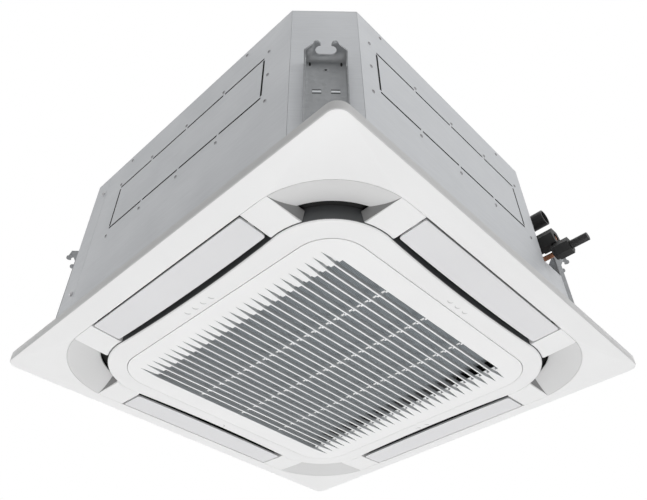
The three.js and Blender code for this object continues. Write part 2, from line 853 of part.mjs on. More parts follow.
function fanHub() {
  const bore = shaftRadius + clearance;
  return turned([[bore, fanTop - hubDrop], [hubRadius, fanTop - hubDrop],
    [hubRadius, fanTop - fanSkin], [fanRadius, fanTop - fanSkin], [fanRadius, fanTop],
    [bore, fanTop], [bore, fanTop - hubDrop]], 36);
}

function turboFan() {
  const blades = [];
  for (let i = 0; i < bladeCount; i += 1) {
    blades.push(fanBlade().rotateZ((i * 2 * Math.PI) / bladeCount));
  }
  return join(fanHub(), fanShroud(), common(join(...blades), bladeSpace()));
}

function fanMotor() {
  const bore = shaftRadius + clearance;
  return turned([[0, motorFoot + motorSeat], [bore, motorFoot + motorSeat], [bore, motorFoot],
    [motorRadius - 14, motorFoot], [motorRadius, motorFoot + 12], [motorRadius, motorTop - 8],
    [motorRadius - 8, motorTop], [0, motorTop]], 32);
}

function motorMount() {
  const low = motorTop + clearance;
  const plate = upright(mountRadius, low, low + mountSheet, 28);
  const legs = [];
  for (let i = 0; i < 4; i += 1) {
    const angle = (i + 0.5) * quarterTurn;
    legs.push(upright(mountLegRadius, low, roofZ, 12,
      mountLegCircle * Math.cos(angle), mountLegCircle * Math.sin(angle)));
  }
  return join(plate, ...legs);
}

function fanNut() {
  const high = fanTop - hubDrop - clearance;
  const nut = upright(fanNutRadius, high - fanNutHeight, high, 6);
  return cut(nut, upright(shaftRadius + clearance, high - 2 * fanNutHeight, high + 1, 20));
}

add(casing, 'fan_motor', fanMotor(), steel);
add(casing, 'motor_mount', motorMount(), galvanised);
add(casing, 'motor_shaft', upright(shaftRadius, shaftFoot, motorFoot + motorSeat - clearance, 20),
  steel);
add(casing, 'turbo_fan', turboFan(), fanPlastic);
add(casing, 'fan_nut', fanNut(), steel);

// ---------------------------------------------------------------- bell mouth and control box
const bellFoot = panFoot + panHeight + clearance;

function bellMouth() {
  const low = bellFoot;
  const plate = prism(roundedSquare(bellHalf, bellRadius), low, low + bellSheet,
    [arc(0, 0, bellEdge, 0, 2 * Math.PI * (35 / 36), 35)]);
  const wall = [[bellEdge + 2, low], [bellEdge - 14, low + 3], [bellThroat + 6, low + 9],
    [bellThroat + 1, low + 19], [bellThroat, low + bellRise]];
  const outside = wall.map(([r, z]) => [r + bellSheet, z + bellSheet * 0.4]).reverse();
  const throat = turned([...wall, ...outside, wall[0]].reverse(), 36);
  return cut(join(plate, throat), beyondPipeCorner(pumpCorner + bellLap));
}

const boxTop = bellFoot - clearance;
const boxFoot = boxTop - boxHeight;

function controlBox() {
  const [x, y0, y1] = [boxLength / 2, boxOffset, boxOffset + boxWidth];
  const shell = block(-x, x, y0, y1, boxFoot, boxTop);
  const hollow = block(-x + boxWall, x - boxWall, y0 + boxWall, y1 - boxWall,
    boxFoot - boxWall, boxTop - boxWall);
  const ledges = [-1, 1].map((side) => {
    const end = side * (x - boxWall);
    const [a, b] = side < 0 ? [end - 1, end + 6] : [end - 6, end + 1];
    return block(a, b, y0 + boxWall - 0.5, y1 - boxWall + 0.5,
      boxFoot + boardHeight - 3, boxFoot + boardHeight - clearance);
  });
  return join(cut(shell, hollow), ...ledges);
}

function controlCover() {
  const x = boxLength / 2;
  return block(-x, x, boxOffset, boxOffset + boxWidth, boxFoot - clearance - boxWall,
    boxFoot - clearance);
}

function controlBoard() {
  const x = boxLength / 2 - boxWall - 1;
  const inset = boxWall + 1;
  const middle = boxOffset + boxWidth / 2;
  const low = boxFoot + boardHeight;
  const plate = block(-x, x, boxOffset + inset, boxOffset + boxWidth - inset,
    low, low + boardThickness);
  const part = (centre, length, width, height) => block(centre - length / 2, centre + length / 2,
    middle - width / 2, middle + width / 2, low, low + boardThickness + height);
  const relay = part(relayInset + relayLength / 2 - x, relayLength, relayWidth, relayHeight);
  const choke = part(chokeOffset, chokeSide, chokeSide, chokeHeight);
  return join(plate, relay, choke);
}

add(casing, 'bell_mouth', bellMouth(), galvanised);
add(casing, 'control_box', controlBox(), galvanised);
add(casing, 'control_cover', controlCover(), galvanised);
add(casing, 'control_board', controlBoard(), boardGreen);

// ---------------------------------------------------------------- panel frame
const panelLoop = (half, radius) => roundedSquare(half, radius, { steps: 8 });

// The angles between which an arc of this radius lies inside a scoop, at the front left corner.
function scoopSweep(radius, centre) {
  const skip = Math.asin((scoopStart - centre) / radius);
  return [Math.PI + skip, 1.5 * Math.PI - skip];
}

function panelFrame() {
  const inner = panelLoop(rimInner, rimInnerRadius);
  const outer = panelLoop(panelSide / 2, panelRadius);
  const land = panelLoop(panelSide / 2 - landWidth, landRadius);
  return ringThrough([
    { points: outer, z: 0 }, { points: land, z: 0 }, { points: land, z: -landStep },
    { points: inner, z: -landStep }, { points: inner, z: -rimDrop },
    { points: outer, z: -rimEdge },
  ]);
}

// ---------------------------------------------------------------- corner covers
function coverBlank() {
  const top = -coverDrop;
  const edge = rimInner - clearance;
  const outer = panelLoop(edge, rimInnerRadius - clearance);
  const inner = panelLoop(ringHalf + clearance, ringRadius + clearance);
  const ring = ringThrough([
    { points: outer, z: top }, { points: inner, z: top },
    { points: inner, z: -bridgeDrop }, { points: outer, z: -rimDrop },
  ]);
  const corner = block(-panelSide, -bridgeStart, -panelSide, -bridgeStart, -panelSide, panelSide);
  return common(ring, corner);
}

// The hollow of a scoop, steep at its outer edge and nearly level at its lip, with the outlet
// that opens between the lip and the ring.
function scoopHollow() {
  const outerCentre = rimInner - rimInnerRadius;
  const steps = 10;
  const arcAt = (radius, centre) => arc(-centre, -centre, radius, ...scoopSweep(radius, centre),
    steps);
  const far = arcAt(rimInnerRadius + 1, outerCentre);
  const lip = arcAt(scoopLip, scoopCentre);
  const ring = arcAt(ringRadius - 2, scoopCentre);
  const lipZ = -coverDrop - scoopLipSheet;
  const rise = lipZ + rimDrop;
  const shares = [0, 0.1, 0.3, 0.6, 1];
  const hollow = shares.map((share) => far.map(([x, y], i) => [
    x + (lip[i][0] - x) * share,
    y + (lip[i][1] - y) * share,
    -rimDrop + rise * share ** 0.55,
  ]));
  const outlet = [lip, ring].map((line) => line.map(([x, y]) => [x, y, 1]));
  return groundedBlock([...hollow, ...outlet], -2 * rimDrop);
}

// The pin bore and the motor's pocket at the end of the left slot.
function vaneDrivePocket(play) {
  const low = -vanePivotDrop - vaneMotorHeight / 2;
  const wallEnd = -bridgeStart - motorWall;
  const pocket = block(-vanePivotX - vaneMotorHalf - play, -vanePivotX + vaneMotorHalf + play,
    wallEnd - vaneMotorLength - play, wallEnd + play, low - play, 0);
  const bore = rodAlongY(vanePinRadius + clearance, wallEnd - 1, -bridgeStart + 1,
    -vanePivotX, -vanePivotDrop, 12);
  return [pocket, bore];
}

// The plain pin bore at the end of the front slot.
function vanePinBore() {
  const depth = vanePinLength + 1;
  return rodAlongX(vanePinRadius + clearance, -bridgeStart - depth, -bridgeStart + 1,
    -vanePivotX, -vanePivotDrop, 12);
}

function cornerCover() {
  return cut(coverBlank(), scoopHollow(), ...vaneDrivePocket(clearance), vanePinBore());
}

add(trim, 'panel_frame', panelFrame(), whitePlastic);
cornerNames.forEach((corner, i) => {
  add(trim, `corner_cover_${corner}`, cornerCover(), whitePlastic, i * quarterTurn);
});

// ---------------------------------------------------------------- ring and intake grille
function grilleRing() {
  const bowed = { steps: 8, bow: ringBow, bowHalf: ringHalf - ringRadius };
  const outer = roundedSquare(ringHalf, ringRadius, bowed);
  const edge = roundedSquare(ringHalf - 1, ringRadius - 1, bowed);
  const innerFlat = { steps: 8, bow: 1e-6, bowHalf: ringInner - ringInnerRadius };
  const inner = roundedSquare(ringInner, ringInnerRadius, innerFlat);
  const top = panFoot - clearance;
  const ring = ringThrough([
    { points: outer, z: top }, { points: inner, z: top },
    { points: inner, z: -ringInnerDrop }, { points: edge, z: -ringOuterDrop },
    { points: outer, z: -ringOuterDrop + 1 },
  ]);
  return cut(ring, latchPocket(-latchX), latchPocket(latchX));
}

function latchPocket(x) {
  const half = latchLength / 2 + 1;
  const depth = latchTravel - latchBack + 1;
  return block(x - half, x + half, -ringInner - depth, -ringInner + 1,
    grilleBack, grilleBack + latchHeight + 2);
}

const slatGap = slatPitch - slatWidth;

function gapStart(i) {
  const field = (slatGaps - 1) * slatPitch + slatGap;
  return -field / 2 + i * slatPitch;
}

// The windows between the ribs, as pairs of ends along X.
function bays() {
  const ends = [-slatOpenHalf];
  for (let i = 0; i < ribCount; i += 1) {
    const x = (i - (ribCount - 1) / 2) * ribPitch;
    ends.push(x - ribWidth / 2, x + ribWidth / 2);
  }
  ends.push(slatOpenHalf);
  return Array.from({ length: ribCount + 1 }, (_, i) => [ends[2 * i], ends[2 * i + 1]]);
}

// A blind slit with pointed ends runs the whole length of a gap, in front of the ribs.
function slitOutline(back) {
  const [open, tip] = [slatOpenHalf, slatRunHalf];
  const [front, point] = [back - slitWidth, back - slitTipOffset];
  return [[-tip, point], [-open, front], [open, front], [tip, point], [open, back],
    [-open, back]];
}

function slatCuts() {
  const cutters = [];
  for (let i = 0; i < slatGaps; i += 1) {
    const low = gapStart(i);
    const high = low + slatGap;
    cutters.push(prism(slitOutline(high), grilleFace - 1, grilleFace + slitDepth));
    for (const [x0, x1] of bays()) {
      cutters.push(block(x0, x1, low, high, grilleFace - 1, grilleBack + 1));
    }
  }
  return cutters;
}

function intakeGrille() {
  const plate = prism(panelLoop(grilleHalf, grilleRadius), grilleFace, grilleBack);
  const lip = prism(
    [[-lipHalfX, -lipHalfY], [lipHalfX, -lipHalfY], [lipHalfX, lipHalfY], [-lipHalfX, lipHalfY]],
    grilleBack - 1, -lipTop,
    [[[-lipHalfX + lipWall, -lipHalfY + lipWall], [lipHalfX - lipWall, -lipHalfY + lipWall],
      [lipHalfX - lipWall, lipHalfY - lipWall], [-lipHalfX + lipWall, lipHalfY - lipWall]]],
  );
  return join(cut(plate, ...slatCuts()), lip);
}

function airFilter() {
  const low = -lipTop + clearance;
  const frame = block(-filterHalfX, filterHalfX, -filterHalfY, filterHalfY, low,
    low + filterFrame);
  const [x, y] = [filterHalfX - filterBorder, filterHalfY - filterBorder];
  const hollow = block(-x, x, -y, y, low + filterMesh, low + 2 * filterFrame);
  return cut(frame, hollow);
}

function grilleLatch(x) {
  const face = -ringInner + latchBack;
  const low = grilleBack + clearance;
  return block(x - latchLength / 2, x + latchLength / 2, face, face + latchWidth,
    low, low + latchHeight);
}

add(trim, 'grille_ring', grilleRing(), whitePlastic);
add(trim, 'intake_grille', intakeGrille(), slatPlastic);
add(trim, 'air_filter', airFilter(), filterGrey);
add(trim, 'latch_left', grilleLatch(-latchX), whitePlastic);
add(trim, 'latch_right', grilleLatch(latchX), whitePlastic);

// ---------------------------------------------------------------- louvre vanes
// Drawn at the left slot, with its length along Y.
function vanePlan() {
  const steps = 12;
  const inner = [];
  for (let i = 0; i <= steps; i += 1) {
    const share = (2 * i) / steps - 1;
    const y = (vaneHalf - vaneCorner) * share;
    inner.push([-vaneInner + vaneBow * (1 - share ** 2), y]);
  }
  const x = -vaneOuter + vaneCorner;
  const y = vaneHalf - vaneCorner;
  const innerX = -vaneInner - vaneCorner;
  return [
    ...arc(innerX, -y, vaneCorner, -Math.PI / 2, 0, 4).slice(0, -1),
    ...inner,
    ...arc(innerX, y, vaneCorner, 0, Math.PI / 2, 4).slice(1),
    ...arc(x, y, vaneCorner, Math.PI / 2, Math.PI, 4),
    ...arc(x, -y, vaneCorner, Math.PI, 1.5 * Math.PI, 4),
  ];
}

function louvreVane() {
  const slope = (vaneInnerDrop - vaneOuterDrop) / (vaneOuter - vaneInner);
  const steps = 4;
  const front = [];
  const back = [];
  for (let i = 0; i <= steps; i += 1) {
    const out = vaneOuter - ((vaneOuter - vaneInner + vaneBow) * i) / steps;
    const z = -vaneOuterDrop - slope * (vaneOuter - out);
    const hump = 0.8 * Math.sin((Math.PI * i) / steps);
    front.push([-out, z]);
    back.unshift([-out, z + vaneThickness + hump]);
  }
  const strip = prism([...front, ...back], -vaneHalf, vaneHalf).rotateX(Math.PI / 2);
  const parts = [common(strip, prism(vanePlan(), -panelSide, panelSide))];
  for (const side of [-1, 1]) {
    const end = side * vaneHalf;
    const inner = end - side * vaneEar;
    parts.push(block(-vanePivotX - vaneEarHalf, -vanePivotX + vaneEarHalf,
      Math.min(end, inner), Math.max(end, inner), -vaneOuterDrop + 1, -vanePivotDrop + 3));
    const pinEnd = side * (bridgeStart + vanePinLength);
    parts.push(rodAlongY(vanePinRadius, Math.min(inner, pinEnd), Math.max(inner, pinEnd),
      -vanePivotX, -vanePivotDrop, 12));
  }
  return join(...parts);
}

function vaneMotor() {
  const [pocket] = vaneDrivePocket(0);
  const top = -coverDrop - clearance;
  const limit = block(-panelSide, 0, -panelSide, 0, -panelSide, top);
  return common(pocket, limit);
}

const vaneNames = ['left', 'front', 'right', 'back'];
vaneNames.forEach((side, i) => {
  add(trim, `vane_${side}`, louvreVane(), vanePlastic, i * quarterTurn);
  add(trim, `vane_motor_${side}`, vaneMotor(), blackPlastic, i * quarterTurn);
});

export default cassette;
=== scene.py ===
"""Looks for a ceiling cassette air conditioner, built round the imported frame."""
import json
import math
import bmesh
import bpy
from mathutils import Matrix, Vector


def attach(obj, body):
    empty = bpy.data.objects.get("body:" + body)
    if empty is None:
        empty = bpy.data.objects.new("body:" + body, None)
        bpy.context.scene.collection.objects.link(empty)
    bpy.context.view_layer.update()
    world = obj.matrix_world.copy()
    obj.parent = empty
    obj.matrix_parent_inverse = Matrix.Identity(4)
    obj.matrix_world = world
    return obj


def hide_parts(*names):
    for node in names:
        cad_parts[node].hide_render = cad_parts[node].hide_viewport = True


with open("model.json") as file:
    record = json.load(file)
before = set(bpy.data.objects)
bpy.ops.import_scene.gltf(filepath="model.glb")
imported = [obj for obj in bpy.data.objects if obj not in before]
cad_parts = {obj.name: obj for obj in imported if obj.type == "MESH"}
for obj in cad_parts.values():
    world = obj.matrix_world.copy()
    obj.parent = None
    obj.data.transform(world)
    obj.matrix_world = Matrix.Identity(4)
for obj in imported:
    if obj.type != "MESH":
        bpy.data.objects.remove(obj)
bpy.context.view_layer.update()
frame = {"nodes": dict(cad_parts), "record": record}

MM = 0.001
SLOTS = {row["node"]: row["material_slot"] for row in frame["record"]["subparts"]}
CORNERS = ("front_left", "front_right", "back_right", "back_left")
SIDES = ("left", "front", "right", "back")
BODY_OF = {node: body for body, nodes in frame["record"]["behaviour"]["bodies"].items()
           for node in nodes}

# ------------------------------------------------------------------ sizes, in millimetres
TRIM_X, TRIM_Y = 3.0, -8.0      # middle of the trim panel
CASING = 287.5                  # half the casing's side
CUT_END = 227.5                 # where a side meets its corner cut
TOP = 300.0
SIDE_TURN = {"front": 0, "right": 90, "back": 180, "left": -90}
KNOCKOUT_MIDDLE = {"front": -32.75, "right": 0.0, "back": 0.0, "left": 17.5}
KNOCKOUT_LENGTH, KNOCKOUT_HEIGHT, KNOCKOUT_LEVEL = 322.0, 86.0, 195.0
KNOCKOUT_TIE, KNOCKOUT_DASHES, KNOCKOUT_SLIT = 4.0, 4, 3.4
WEB_OUT = (CASING + CUT_END) / math.sqrt(2) + 2.8   # outer face of a hanger's web
TRIM_HALF, RIM_INNER, RIM_RADIUS = 310.0, 280.0, 111.7
COVER_FACE, COVER_BACK = -18.0, -7.3
BRIDGE = 40.7                   # width of the bar between a louvre slot and the scoop
RING_HALF, RING_RADIUS, RING_BOW = 234.0, 84.0, 5.0
RING_INNER, RING_INNER_RADIUS = 205.7, 50.8
SLOT_END = 141.3                # half the length of a louvre slot
SCOOP_START, SCOOP_CENTRE = 182.0, 150.0
SCOOP_LIP, SCOOP_RISE = 96.5, 12.0
CHEEK_SLANT = 4.0               # how far the scoop's end walls lean in
LATCH_X, POCKET_HALF, POCKET_DEPTH, POCKET_HEIGHT = 90, 14, 2.8, 7.5
VANE_EDGE, VANE_END = 278, 138  # beyond these a vane is drawn in
VANE_GAP, VANE_END_GAP = 1.3, 0.9
GRILLE_HALF, GRILLE_RADIUS, GRILLE_FACE, GRILLE_BACK = 204.9, 50.0, -23.2, -17.9
SLAT_PLATE = 188.0              # half the width of the window that the slats fill
SLAT_PITCH, SLAT_WIDTH, SLAT_GAPS = 13.0, 2.4, 27
SLAT_OPEN, SLAT_TIP, SLIT_WIDTH, SLIT_DEPTH = 156.9, 183.4, 6.1, 4.9
RIBS, RIB_WIDTH, RIB_STEP = (-76.5, 0.0, 76.5), 3.0, 2.6
SHARP = 35.0                    # an edge turns by more than this, in degrees


# ------------------------------------------------------------------ materials
def fill(node, values):
    """Sets a node's sockets by name."""
    for socket, value in values.items():
        node.inputs[socket].default_value = value
    return node


def new_material(name, color, roughness, metallic=0.0, specular=0.5):
    """A plain shader whose fixed numbers sit on its own sockets."""
    material = bpy.data.materials.new(name)
    material.use_nodes = True
    fill(material.node_tree.nodes["Principled BSDF"],
         {"Base Color": (*color, 1.0), "Roughness": roughness, "Metallic": metallic,
          "Specular IOR Level": specular})
    return material


def srgb(value):
    """Linear light of an 8-bit display level."""
    part = value / 255.0
    return part / 12.92 if part <= 0.04045 else ((part + 0.055) / 1.055) ** 2.4


class Nodes:
    """Short ways to add nodes to a material."""

    def __init__(self, material):
        self.tree = material.node_tree
        self.shader = self.tree.nodes["Principled BSDF"]
        self.coordinates = self.tree.nodes.new("ShaderNodeTexCoord")

    def add(self, kind, **settings):
        node = self.tree.nodes.new(kind)
        for key, value in settings.items():
            setattr(node, key, value)
        return node

    def link(self, source, target):
        self.tree.links.new(source, target)

    def place(self, stretch=(1.0, 1.0, 1.0)):
        mapping = fill(self.add("ShaderNodeMapping"), {"Scale": stretch})
        self.link(self.coordinates.outputs["Object"], mapping.inputs["Vector"])
        return mapping.outputs["Vector"]

    def noise(self, scale, detail=2.0, roughness=0.5, stretch=(1.0, 1.0, 1.0)):
        noise = fill(self.add("ShaderNodeTexNoise"),
                     {"Scale": scale, "Detail": detail, "Roughness": roughness})
        self.link(self.place(stretch), noise.inputs["Vector"])
        return noise.outputs["Fac"]

    def cells(self, scale, feature="F1"):
        cells = fill(self.add("ShaderNodeTexVoronoi", feature=feature), {"Scale": scale})
        self.link(self.coordinates.outputs["Object"], cells.inputs["Vector"])
        return cells

    def bands(self, scale, axis):
        wave = fill(self.add("ShaderNodeTexWave", wave_type="BANDS", bands_direction=axis),
                    {"Scale": scale})
        self.link(self.place(), wave.inputs["Vector"])
        return wave.outputs["Fac"]

    def spread(self, source, low, high, start=0.3, end=0.7):
        node = fill(self.add("ShaderNodeMapRange"),
                    {"From Min": start, "From Max": end, "To Min": low, "To Max": high})
        self.link(source, node.inputs["Value"])
        return node.outputs["Result"]

    def combine(self, operation, first, second):
        node = self.add("ShaderNodeMath", operation=operation)
        self.link(first, node.inputs[0])
        self.link(second, node.inputs[1])
        return node.outputs["Value"]

    def between(self, factor, first, second):
        node = fill(self.add("ShaderNodeMix", data_type="RGBA"),
                    {"A": (*first, 1.0), "B": (*second, 1.0)})
        self.link(factor, node.inputs["Factor"])
        return node.outputs["Result"]

    def paint(self, color):
        self.link(color, self.shader.inputs["Base Color"])

    def dull(self, roughness):
        self.link(roughness, self.shader.inputs["Roughness"])

    def bump(self, height, strength, distance):
        node = fill(self.add("ShaderNodeBump"), {"Strength": strength, "Distance": distance})
        self.link(height, node.inputs["Height"])
        self.link(node.outputs["Normal"], self.shader.inputs["Normal"])


def shades(base, low, high):
    """A darker and a lighter version of one colour."""
    return tuple(part * low for part in base), tuple(part * high for part in base)


def moulded_plastic(name, shade, roughness=0.42, tint=(1.0, 1.0, 1.0)):
    """Moulded plastic with a fine spark-eroded grain and a barely uneven gloss."""
    base = tuple(srgb(shade) * part for part in tint)
    material = new_material(name, base, roughness)
    nodes = Nodes(material)
    nodes.paint(nodes.between(nodes.spread(nodes.noise(9.0, 3.0), 0.0, 1.0),
                              *shades(base, 0.97, 1.0)))
    nodes.dull(nodes.spread(nodes.noise(60.0, 2.0), roughness - 0.05, roughness + 0.06))
    nodes.bump(nodes.noise(2600.0, 2.0), 0.05, 0.0002)
    return material


def painted_sheet(name, shade, tint, metallic=0.3, roughness=0.48):
    """Coated steel sheet with a faint rolled grain and a cloudy gloss."""
    base = tuple(srgb(shade) * part for part in tint)
    material = new_material(name, base, roughness, metallic)
    nodes = Nodes(material)
    rolled = nodes.noise(30.0, 4.0, 0.6, stretch=(1.0, 1.0, 14.0))
    nodes.paint(nodes.between(nodes.spread(rolled, 0.0, 1.0), *shades(base, 0.94, 1.0)))
    nodes.dull(nodes.spread(nodes.noise(14.0, 3.0), roughness - 0.07, roughness + 0.08))
    nodes.bump(nodes.noise(1500.0, 2.0), 0.05, 0.0002)
    return material


def galvanised_sheet(name, shade, contrast=0.06, roughness=0.42):
    """Galvanised steel with a faint crystal spangle."""
    base = (srgb(shade) * 0.97, srgb(shade), srgb(shade) * 1.03)
    material = new_material(name, base, roughness, 0.65)
    nodes = Nodes(material)
    grain = nodes.add("ShaderNodeSeparateColor")
    nodes.link(nodes.cells(210.0).outputs["Color"], grain.inputs["Color"])
    nodes.paint(nodes.between(grain.outputs["Red"], *shades(base, 1 - contrast, 1 + contrast)))
    nodes.dull(nodes.spread(grain.outputs["Green"], roughness - 0.05, roughness + 0.07,
                            0.0, 1.0))
    nodes.bump(nodes.noise(900.0, 2.0), 0.06, 0.0002)
    return material


def bead_foam(name, shade, bead=280.0):
    """Expanded foam with its pressed beads."""
    base = (srgb(shade),) * 3
    material = new_material(name, base, 0.85, specular=0.25)
    nodes = Nodes(material)
    edge = nodes.spread(nodes.cells(bead, "DISTANCE_TO_EDGE").outputs["Distance"],
                        0.0, 1.0, 0.0, 0.12)
    nodes.paint(nodes.between(edge, *shades(base, 0.8, 1.0)))
    nodes.bump(edge, 0.35, 0.0004)
    return material


def drawn_copper(name):
    """Drawn copper tube, a little tarnished."""
    material = new_material(name, (0.62, 0.27, 0.15), 0.3, 1.0)
    nodes = Nodes(material)
    stain = nodes.noise(40.0, 4.0, 0.6)
    nodes.paint(nodes.between(nodes.spread(stain, 0.0, 1.0), (0.36, 0.15, 0.085),
                              (0.72, 0.34, 0.2)))
    nodes.dull(nodes.spread(stain, 0.42, 0.24))
    return material


def bare_steel(name, shade, roughness=0.34):
    """Bright steel with fine marks from its tool."""
    base = (srgb(shade), srgb(shade), srgb(shade) * 1.02)
    material = new_material(name, base, roughness, 0.95)
    nodes = Nodes(material)
    marks = nodes.noise(160.0, 3.0, stretch=(1.0, 1.0, 9.0))
    nodes.dull(nodes.spread(marks, roughness - 0.07, roughness + 0.08))
    nodes.bump(marks, 0.04, 0.0002)
    return material


def finned_aluminium(name):
    """The edges of closely set aluminium fins, with painted shade in the gaps between them."""
    base = (0.56, 0.58, 0.60)
    material = new_material(name, base, 0.4, 0.85)
    nodes = Nodes(material)
    ridges = nodes.combine("MULTIPLY", nodes.bands(95.0, "X"), nodes.bands(95.0, "Y"))
    # between the ridges the colour drops to painted shade
    nodes.paint(nodes.between(nodes.spread(ridges, 0.0, 1.0, 0.0, 0.6),
                              *shades(base, 0.3, 1.0)))
    nodes.bump(ridges, 0.5, 0.0006)
    return material


def dusty_black(name, shade, roughness=0.6):
    """Black plastic or rubber, a little dusty."""
    base = (srgb(shade),) * 3
    material = new_material(name, base, roughness)
    nodes = Nodes(material)
    dust = nodes.noise(55.0, 4.0, 0.6)
    nodes.paint(nodes.between(nodes.spread(dust, 0.0, 1.0, 0.45, 0.75),
                              *shades(base, 1.0, 1.5)))
    nodes.bump(nodes.noise(800.0, 2.0), 0.1, 0.0003)
    return material


def woven_filter(name):
    """Fine plastic filter gauze: light threads over holes drawn near black as painted shade."""
    light, dark = (0.33, 0.36, 0.38), (0.09, 0.10, 0.11)
    material = new_material(name, light, 0.75)
    nodes = Nodes(material)
    threads = nodes.combine("MAXIMUM", nodes.bands(160.0, "X"), nodes.bands(160.0, "Y"))
    nodes.paint(nodes.between(nodes.spread(threads, 0.0, 1.0, 0.45, 0.85), dark, light))
    nodes.bump(threads, 0.6, 0.0004)
    return material


def circuit_board(name):
    """Green solder mask with paler tracks."""
    material = new_material(name, (0.02, 0.13, 0.05), 0.35)
    nodes = Nodes(material)
    tracks = nodes.cells(320.0, "DISTANCE_TO_EDGE").outputs["Distance"]
    nodes.paint(nodes.between(nodes.spread(tracks, 0.0, 1.0, 0.04, 0.07),
                              (0.05, 0.25, 0.10), (0.018, 0.11, 0.045)))
    return material


CASING_PAINT = painted_sheet("casing_paint", 205, (0.975, 1.0, 1.035))
GALVANISED = galvanised_sheet("galvanised", 138)
BRACKET = galvanised_sheet("bracket_zinc", 150, 0.04, 0.5)
# brighter copy of the bracket's zinc: a painted highlight on the hanger lances
LANCE_PAINTED_HIGHLIGHT = galvanised_sheet("lance_zinc", 212, 0.03, 0.4)
WHITE = moulded_plastic("white_plastic", 240)
VANE_GREY = moulded_plastic("vane_plastic", 226, tint=(1.0, 1.0, 1.015))
SLAT_WHITE = moulded_plastic("slat_plastic", 243)
# greyer copy of the slat plastic: painted shade on the walls inside the grille's gaps
SLAT_WALL_PAINTED_SHADE = moulded_plastic("slat_side", 196, tint=(0.97, 1.0, 1.02))
# darker copy of the white plastic: painted shade on the scoop's shell
SCOOP_PAINTED_SHADE = moulded_plastic("scoop_plastic", 216)
# greyer copy of the white plastic: painted shade on the rim's outer side
RIM_SIDE_PAINTED_SHADE = moulded_plastic("rim_side", 205)
# much darker copy of the white plastic: painted shade on the scoop's end walls
CHEEK_PAINTED_SHADE = moulded_plastic("cheek_plastic", 142)
FILTER_GREY = woven_filter("filter_gauze")
FRAME_GREY = moulded_plastic("filter_frame", 120, 0.7, (0.93, 1.0, 1.05))
# greyer copy of the white plastic: painted shade that shows the raised crescents
MARK_PAINTED_SHADE = moulded_plastic("mark_plastic", 196)
FOAM = bead_foam("foam", 225)
# near-black copy of the foam: painted shade for the drain pan's underside and air ways
FOAM_PAINTED_SHADE = bead_foam("dark_foam", 38, 420.0)
# dark grey copy of the plastic: painted shade on the ring's outer wall inside the outlets
DUCT_PAINTED_SHADE = moulded_plastic("duct_grey", 96, 0.6, (0.96, 1.0, 1.03))
COPPER = drawn_copper("copper")
STEEL = bare_steel("steel", 165)
RIVET_STEEL = bare_steel("rivet_steel", 150, 0.45)
BLACK = dusty_black("black_plastic", 26)
# near black, as painted shade: slits, holes, dents and the sheets behind the knock-outs
HOLE_PAINTED_SHADE = dusty_black("hole_black", 14, 0.9)
FAN_GREY = moulded_plastic("fan_plastic", 62, 0.5)
FINS = finned_aluminium("fins")
BOARD = circuit_board("board")

SLOT_MATERIAL = {
    "casing_paint": CASING_PAINT, "galvanised": GALVANISED, "foam": FOAM, "fins": FINS,
    "copper": COPPER, "black_plastic": BLACK, "white_plastic": WHITE, "steel": STEEL,
    "fan_plastic": FAN_GREY, "board": BOARD, "slat_plastic": SLAT_WHITE,
    "filter_grey": FRAME_GREY, "vane_plastic": VANE_GREY,
}


# ------------------------------------------------------------------ meshes
def finished(piece, body, nodes=()):
    """Rides the piece on its body and lets it stand for its nodes."""
    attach(piece, body)
    if nodes:
        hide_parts(*nodes)
    return piece


def shown(thing):
    """Puts an object in the scene."""
    bpy.context.scene.collection.objects.link(thing)
    return thing


def piece_from(name, mesh, materials):
    """A new object at the origin, already given its finishes."""
    for material in materials:
        mesh.materials.append(material)
    return shown(bpy.data.objects.new(name, mesh))


def cleaned(mesh):
    """Merges doubles, and turns the faces outwards."""
    work = bmesh.new()
    work.from_mesh(mesh)
    bmesh.ops.remove_doubles(work, verts=work.verts, dist=1e-6)
    bmesh.ops.recalc_face_normals(work, faces=work.faces)
    work.to_mesh(mesh)
    work.free()
    return mesh


def smoothed(mesh, angle):
    """Smooth shading that stays sharp at real edges."""
    for face in mesh.polygons:
        face.use_smooth = True
    mesh.set_sharp_from_angle(angle=math.radians(angle))


def baked(piece):
    """Turns the piece's modifiers into plain mesh."""
    graph = bpy.context.evaluated_depsgraph_get()
    graph.update()
    mesh = bpy.data.meshes.new_from_object(piece.evaluated_get(graph))
    piece.modifiers.clear()
    old, piece.data = piece.data, mesh
    mesh.name = piece.name
    bpy.data.meshes.remove(old)
    return piece


def eased(piece, width, weighted=False):
    """Rounds the piece's sharp edges, or its weighted ones, by a width in millimetres."""
    bevel = piece.modifiers.new("edges", "BEVEL")
    bevel.width = width * MM
    bevel.segments = 2
    bevel.limit_method = "WEIGHT" if weighted else "ANGLE"
    bevel.angle_limit = math.radians(SHARP)
    bevel.use_clamp_overlap = not weighted
    bevel.miter_outer = "MITER_SHARP" if weighted else "MITER_ARC"
    baked(piece)
    return evened(piece, 50.0)


def evened(piece, angle):
    """Smooth shading that leaves large flat faces flat."""
    smoothed(piece.data, angle)
    even = piece.modifiers.new("even", "WEIGHTED_NORMAL")
    even.keep_sharp = True
    return baked(piece)


def from_node(node, name, material=None, ease=0.0, flat=0.0):
    """A copy of a CAD node with its points merged, and its edges eased where asked."""
    mesh = frame["nodes"][node].data.copy()
    mesh.materials.clear()
    work = bmesh.new()
    work.from_mesh(mesh)
    bmesh.ops.remove_doubles(work, verts=work.verts, dist=2e-6)
    if flat:
        bmesh.ops.dissolve_limit(work, angle_limit=math.radians(flat), verts=work.verts,
                                 edges=work.edges)
    work.to_mesh(mesh)
    work.free()
    piece = piece_from(name, mesh, [material or SLOT_MATERIAL[SLOTS[node]]])
    if ease:
        eased(piece, ease)
    else:
        evened(piece, SHARP)
    return finished(piece, BODY_OF[node], [node])


